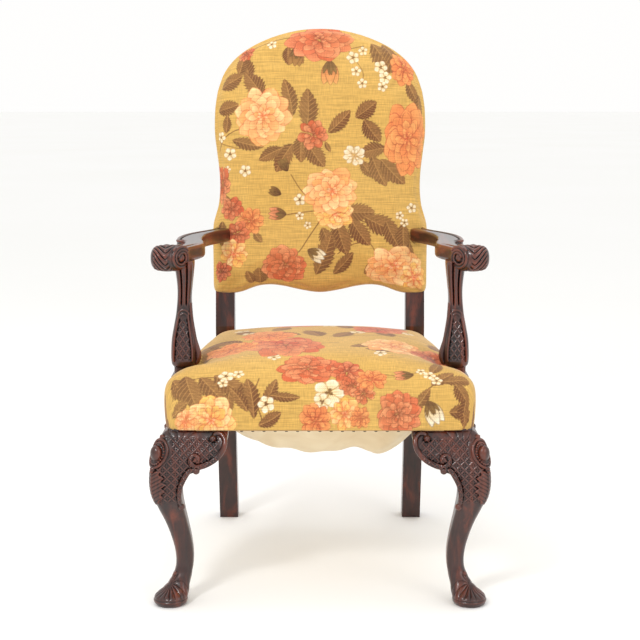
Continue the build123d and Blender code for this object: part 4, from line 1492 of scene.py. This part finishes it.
def edgeGap(x, y):
    # distance in mm from a place on the plan to the seat's edge
    here = np.stack([x, y], 1)
    best = np.full(len(here), 1e9)
    for a, b in zip(seatOutline, np.roll(seatOutline, -1, axis=0)):
        way = b - a
        t = np.clip(((here - a) @ way) / max(way @ way, 1e-9), 0, 1)
        rest = here - a - t[:, None] * way
        best = np.minimum(best, (rest**2).sum(1))
    return np.sqrt(best)


def supportGap(x, y):
    # distance from the foot of an arm support, which the cover dips round
    dx = np.maximum(np.maximum(246 - np.abs(x), np.abs(x) - 300), 0)
    dy = np.maximum(np.maximum(104 - y, y - 170), 0)
    return np.hypot(dx, dy)


def seatTop(x, y):
    gap = np.minimum(edgeGap(x, y) / 58, 1)
    z = 437 + 34 * (1 - (1 - gap) ** 2) ** 0.68
    z += 31 * np.clip(1 - (x / 268) ** 2, 0, 1) * np.clip(1 - ((y - 225) / 330) ** 2, 0, 1)
    z += 1.0 * np.sin(x / 63 + 0.6) * np.sin(y / 71) * (gap > 0.6)
    dip = 441.5 + 40 * (1 - np.exp(-supportGap(x, y) / 15))
    return np.minimum(z, np.where(supportGap(x, y) < 60, dip, 999))


def seatRings():
    middle = np.array([0, 290.0])
    rings = []
    walls = [
        (0.986, 352.6), (0.996, 353.4), (1.0, 358), (1.004, 372), (1.008, 392), (1.009, 410),
        (1.008, 422), (1.005, 431),
    ]
    for grow, z in walls:
        flat = middle + (seatOutline - middle) * grow
        rings.append(np.column_stack([flat, np.full(len(flat), float(z))]))
    shares = (
        1, 0.995, 0.985, 0.97, 0.95, 0.925, 0.9, 0.87, 0.83, 0.78, 0.72, 0.65, 0.57, 0.48, 0.38, 0.27,
        0.16, 0.06,
    )
    for share in shares:
        flat = middle + (seatOutline - middle) * share
        rings.append(np.column_stack([flat, seatTop(flat[:, 0], flat[:, 1])]))
    rings = np.array(rings)
    rings[..., 1] += toeY / mm
    return rings * mm


seatCover = fusedSolid("seatCover", [closedRings(seatRings())], seat["voxel"])
setPoints(seatCover, averaged(points(seatCover), edgePairs(seatCover), 4))
co = points(seatCover)
y = co[:, 1] / mm - toeY / mm
nearSupport = supportGap(co[:, 0] / mm, y) < 26
held = np.where((co[:, 2] < 0.368) | nearSupport | (y > 560), 1.0, np.where(co[:, 2] < 0.385, 0.6, 0.0))
puffed(seatCover, held, seat["swell"], seat["most"])
# the cover is cut round the foot of each arm support, and pulled in beside it
co = points(seatCover)
y, z = co[:, 1] / mm - toeY / mm, co[:, 2] / mm
beside = np.maximum(np.maximum(103 - y, y - 169), 0)
pulled = np.exp(-((beside / 9) ** 2)) * ease(352, 366, z) * (1 - ease(446, 458, z))
spare = np.maximum(np.abs(co[:, 0]) / mm - seat["lapFace"], 0)
co[:, 0] -= np.sign(co[:, 0]) * spare * pulled * mm
setPoints(seatCover, co)
seatStuffing = copied(seatCover, "seatStuffing")
setPoints(seatStuffing, points(seatStuffing) - normals(seatStuffing) * clothGap)
keepFaces(seatStuffing, lambda c, n: c.z > railTop + 2 * mm)
keepFaces(seatCover, lambda c, n: not (n.z < -0.7 and c.z < 0.360))
finer(seatCover, 2)
co, no = points(seatCover), normals(seatCover)
x, y, z = co[:, 0] / mm, co[:, 1] / mm - toeY / mm, co[:, 2] / mm
forward = np.clip(-no[:, 1], 0, 1)
aside = np.abs(no[:, 0])
share = aside**2 / np.maximum(aside**2 + forward**2, 0.02)
drop = np.clip(470 - z, 0, 120)
rear = ease(560, 584, y)
u = x + np.sign(x) * share * drop * (1 - rear)
v = (y - 28) + (z - 352) * (1 - share) * (1 - rear) + 118 * share * (1 - rear) + (118 + drop) * rear
printOn(seatCover, u, v, repeated(seatPrint, ((-640, 0), (640, 0), (0, -600), (0, 0))))
clothe(seatCover, printedLinen)
fitPad(seatCover, "seat_cover")
print("seat covered", len(seatCover.data.polygons))

# Calico under the seat
calico = {
    "shade": "#dcc39a",
    "pale": "#e9d6b2",
    "threadSpacing": 1.3,  # mm; real calico has threads 0.4 mm apart, drawn coarser so they show
    "sag": 84,
}


def calicoMaterial():
    # unbleached calico: a plain close weave, creamy, soft and slightly creased
    s = calico
    material, tree = newMaterial("unbleachedCalico")
    place = addNode(tree, "TexCoord")
    # painted shade and light of soft creases: darker and paler patches laid into the colour
    paintedCreaseShade = addNode(
        tree, "TexNoise", {"Scale": 14.0, "Detail": 4.0, "Distortion": 0.8},
        {"Vector": place.outputs["Object"]},
    )
    shade = addNode(tree, "ValToRGB", links={"Fac": paintedCreaseShade.outputs["Fac"]})
    rampStops(shade, [(0.3, colour(s["shade"])), (0.7, colour(s["pale"]))])
    weave = addNode(
        tree, "TexNoise", {"Scale": 1000 / s["threadSpacing"], "Detail": 2.0},
        {"Vector": place.outputs["Object"]},
    )
    bump = addNode(
        tree, "Bump", {"Strength": 0.25, "Distance": 0.0005}, {"Height": weave.outputs["Fac"]}
    )
    shader = addNode(
        tree,
        "BsdfPrincipled",
        {"Roughness": 0.85, "IOR": 1.45, "Sheen Weight": 0.15},
        {"Base Color": shade.outputs[0], "Normal": bump.outputs[0]},
    )
    finishMaterial(tree, shader)
    return material


calicoFinish = calicoMaterial()
dustHalf = [
    (0, 41), (120, 41), (196, 41), (214, 46), (226, 62), (238, 88), (262, 112), (272, 150),
    (262, 300), (247, 440), (236, 520), (188, 532), (182, 560), (90, 574), (0, 574),
]
dustRight = curveThrough(dustHalf, 140)
dustOutline = np.vstack([dustRight, dustRight[::-1][1:-1] * (-1, 1)])


def dustSheet():
    middle = np.array([0, 300.0])
    rows = 56
    rings = []
    for k in range(rows):
        share = 1 - k / rows
        flat = middle + (dustOutline - middle) * share
        x, y = flat[:, 0], flat[:, 1]
        sink = ease(0.93, 0.34, np.full(len(x), share))
        # the cloth has gone slack: one deep belly, a second lobe beside it, and soft folds
        belly = 1.0 - 0.14 * np.clip(-x / 200, -1, 1)
        lobe = 0.16 * np.exp(-(((x - 150) / 46) ** 2) - ((y - 210) / 150) ** 2)
        dent = 0.13 * np.exp(-(((x - 78) / 36) ** 2) - ((y - 200) / 170) ** 2)
        folds = 0.035 * np.sin(x / 23 + y / 90) + 0.02 * np.sin(x / 11 - y / 60 + 1)
        deep = sink * (belly + folds) + (lobe - dent) * ease(0.95, 0.7, share)
        z = 350.6 - np.maximum(calico["sag"] * deep, 0)
        rings.append(np.column_stack([x, y + toeY / mm, z]))
    verts = np.vstack([np.array(rings).reshape(-1, 3), rings[-1].mean(0)[None]]) * mm
    count = len(dustOutline)
    faces = []
    for r in range(rows - 1):
        for c in range(count):
            d = (c + 1) % count
            faces.append((r * count + c, (r + 1) * count + c, (r + 1) * count + d, r * count + d))
    for c in range(count):
        faces.append(((rows - 1) * count + c, rows * count, (rows - 1) * count + (c + 1) % count))
    piece = newPiece("calicoUnderSeat", verts, faces)
    piece.data.polygons.foreach_set("use_smooth", np.ones(len(piece.data.polygons), bool))
    return piece


dust = dustSheet()
clothe(dust, calicoFinish)
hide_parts("dust_cover")
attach(dust, "root")

# Wood, cloth and metal inside the upholstery


def hiddenMaterial(name, dark, pale, scale, stretch, roughness, metallic=0.0, bumpDepth=0.0004):
    # beech frame, jute, hair and wire: each with its own grain or fibre
    material, tree = newMaterial(name)
    place = addNode(tree, "TexCoord")
    way = addNode(tree, "Mapping", {"Scale": stretch}, {"Vector": place.outputs["Object"]})
    grain = addNode(
        tree, "TexNoise", {"Scale": scale, "Detail": 5.0, "Roughness": 0.6},
        {"Vector": way.outputs[0]},
    )
    shade = addNode(tree, "ValToRGB", links={"Fac": grain.outputs["Fac"]})
    rampStops(shade, [(0.35, colour(dark)), (0.65, colour(pale))])
    bump = addNode(
        tree, "Bump", {"Strength": 0.4, "Distance": bumpDepth}, {"Height": grain.outputs["Fac"]}
    )
    shader = addNode(
        tree,
        "BsdfPrincipled",
        {"Roughness": roughness, "Metallic": metallic},
        {"Base Color": shade.outputs[0], "Normal": bump.outputs[0]},
    )
    finishMaterial(tree, shader)
    return material


sawnBeech = hiddenMaterial("sawnBeech", "#b08a5c", "#d0ab7c", 60, (1, 0.15, 1), 0.7)
juteWeb = hiddenMaterial("wovenJuteWebbing", "#8a744c", "#b8a170", 420, (1, 1, 0.2), 0.9)
juteCloth = hiddenMaterial("hessianCloth", "#96794a", "#bfa06a", 600, (1, 1, 1), 0.9)
hair = hiddenMaterial("curledHair", "#3a3028", "#6a5a48", 300, (1, 0.3, 1), 0.95)
copperedWire = hiddenMaterial("copperedSpringWire", "#7a4a30", "#a46a48", 200, (1, 1, 1), 0.35, 1.0)
turnedSteel = hiddenMaterial("turnedSteelScrew", "#7c7c7e", "#a4a4a6", 500, (1, 1, 0.1), 0.4, 1.0)
bluedTack = hiddenMaterial("bluedIronTack", "#16161a", "#3a3a40", 500, (1, 1, 1), 0.45, 1.0)
finishes = {
    sawnBeech: [
        "seat_rail_front", "seat_rail_rear", "seat_rail_left", "seat_rail_right", "corner_blocks",
        "back_crest_rail", "back_lower_rail",
    ],
    juteWeb: ["seat_webbing", "back_webbing"],
    juteCloth: ["seat_hessian", "back_hessian"],
    copperedWire: ["seat_springs"],
    turnedSteel: ["arm_support_screws", "arm_end_screws"],
    bluedTack: ["dust_cover_tacks"],
}
for finish, names in finishes.items():
    for name in names:
        clothe(nodes[name], finish)
for piece, node in ((backStuffing, "back_stuffing"), (seatStuffing, "seat_stuffing")):
    clothe(piece, hair)
    fitPad(piece, node)
print("inner parts finished")

# Camera, light and floor
studio = {
    "distance": 2619 * mm,  # from the toes to the camera
    "eyeHeight": 990.6 * mm,
    "pitch": 9.0,
    "lens": 78.37,
    "floor": "#fcfcfb",
}
cameraData = bpy.data.cameras.new("studioCamera")
cameraData.lens = studio["lens"]
cameraData.sensor_width = 36
camera = bpy.data.objects.new("studioCamera", cameraData)
camera.location = (0, toeY - studio["distance"], studio["eyeHeight"])
camera.rotation_euler = (math.radians(90 - studio["pitch"]), 0, 0)
bpy.context.scene.collection.objects.link(camera)
bpy.context.scene.camera = camera

floorMaterial, tree = newMaterial("paleMattePaper")
speckle = addNode(tree, "TexNoise", {"Scale": 40.0, "Detail": 3.0})
paper = addNode(tree, "ValToRGB", links={"Fac": speckle.outputs["Fac"]})
rampStops(paper, [(0.3, colour("#fafaf8")), (0.7, colour(studio["floor"]))])
finishMaterial(
    tree,
    addNode(tree, "BsdfPrincipled", {"Roughness": 0.9}, {"Base Color": paper.outputs[0]}),
)
floor = newPiece(
    "studioFloor",
    [(-60, -10, -0.0005), (60, -10, -0.0005), (60, 110, -0.0005), (-60, 110, -0.0005)],
    [(0, 1, 2, 3)],
)
clothe(floor, floorMaterial)


def softLight(name, place, target, size, power):
    lamp = bpy.data.lights.new(name, "AREA")
    lamp.energy = power
    lamp.size = size
    holder = bpy.data.objects.new(name, lamp)
    holder.location = place
    holder.rotation_euler = (Vector(target) - Vector(place)).to_track_quat("-Z", "Y").to_euler()
    bpy.context.scene.collection.objects.link(holder)


softLight("keyLight", (-1.3, -2.4, 2.5), (0, 0, 0.5), size=0.5, power=34)
softLight("fillLight", (1.9, -2.0, 1.5), (0, 0, 0.5), size=1.2, power=10)
softLight("topLight", (0, 0.2, 2.8), (0, 0, 0.6), size=1.4, power=12)
world = bpy.data.worlds.new("studioWorld")
world.use_nodes = True
backdrop = world.node_tree.nodes["Background"]
backdrop.inputs["Color"].default_value = (1.0, 0.995, 0.985, 1)
backdrop.inputs["Strength"].default_value = 1.0
bpy.context.scene.world = world
bpy.context.scene.view_settings.view_transform = "Standard"
print("studio set")
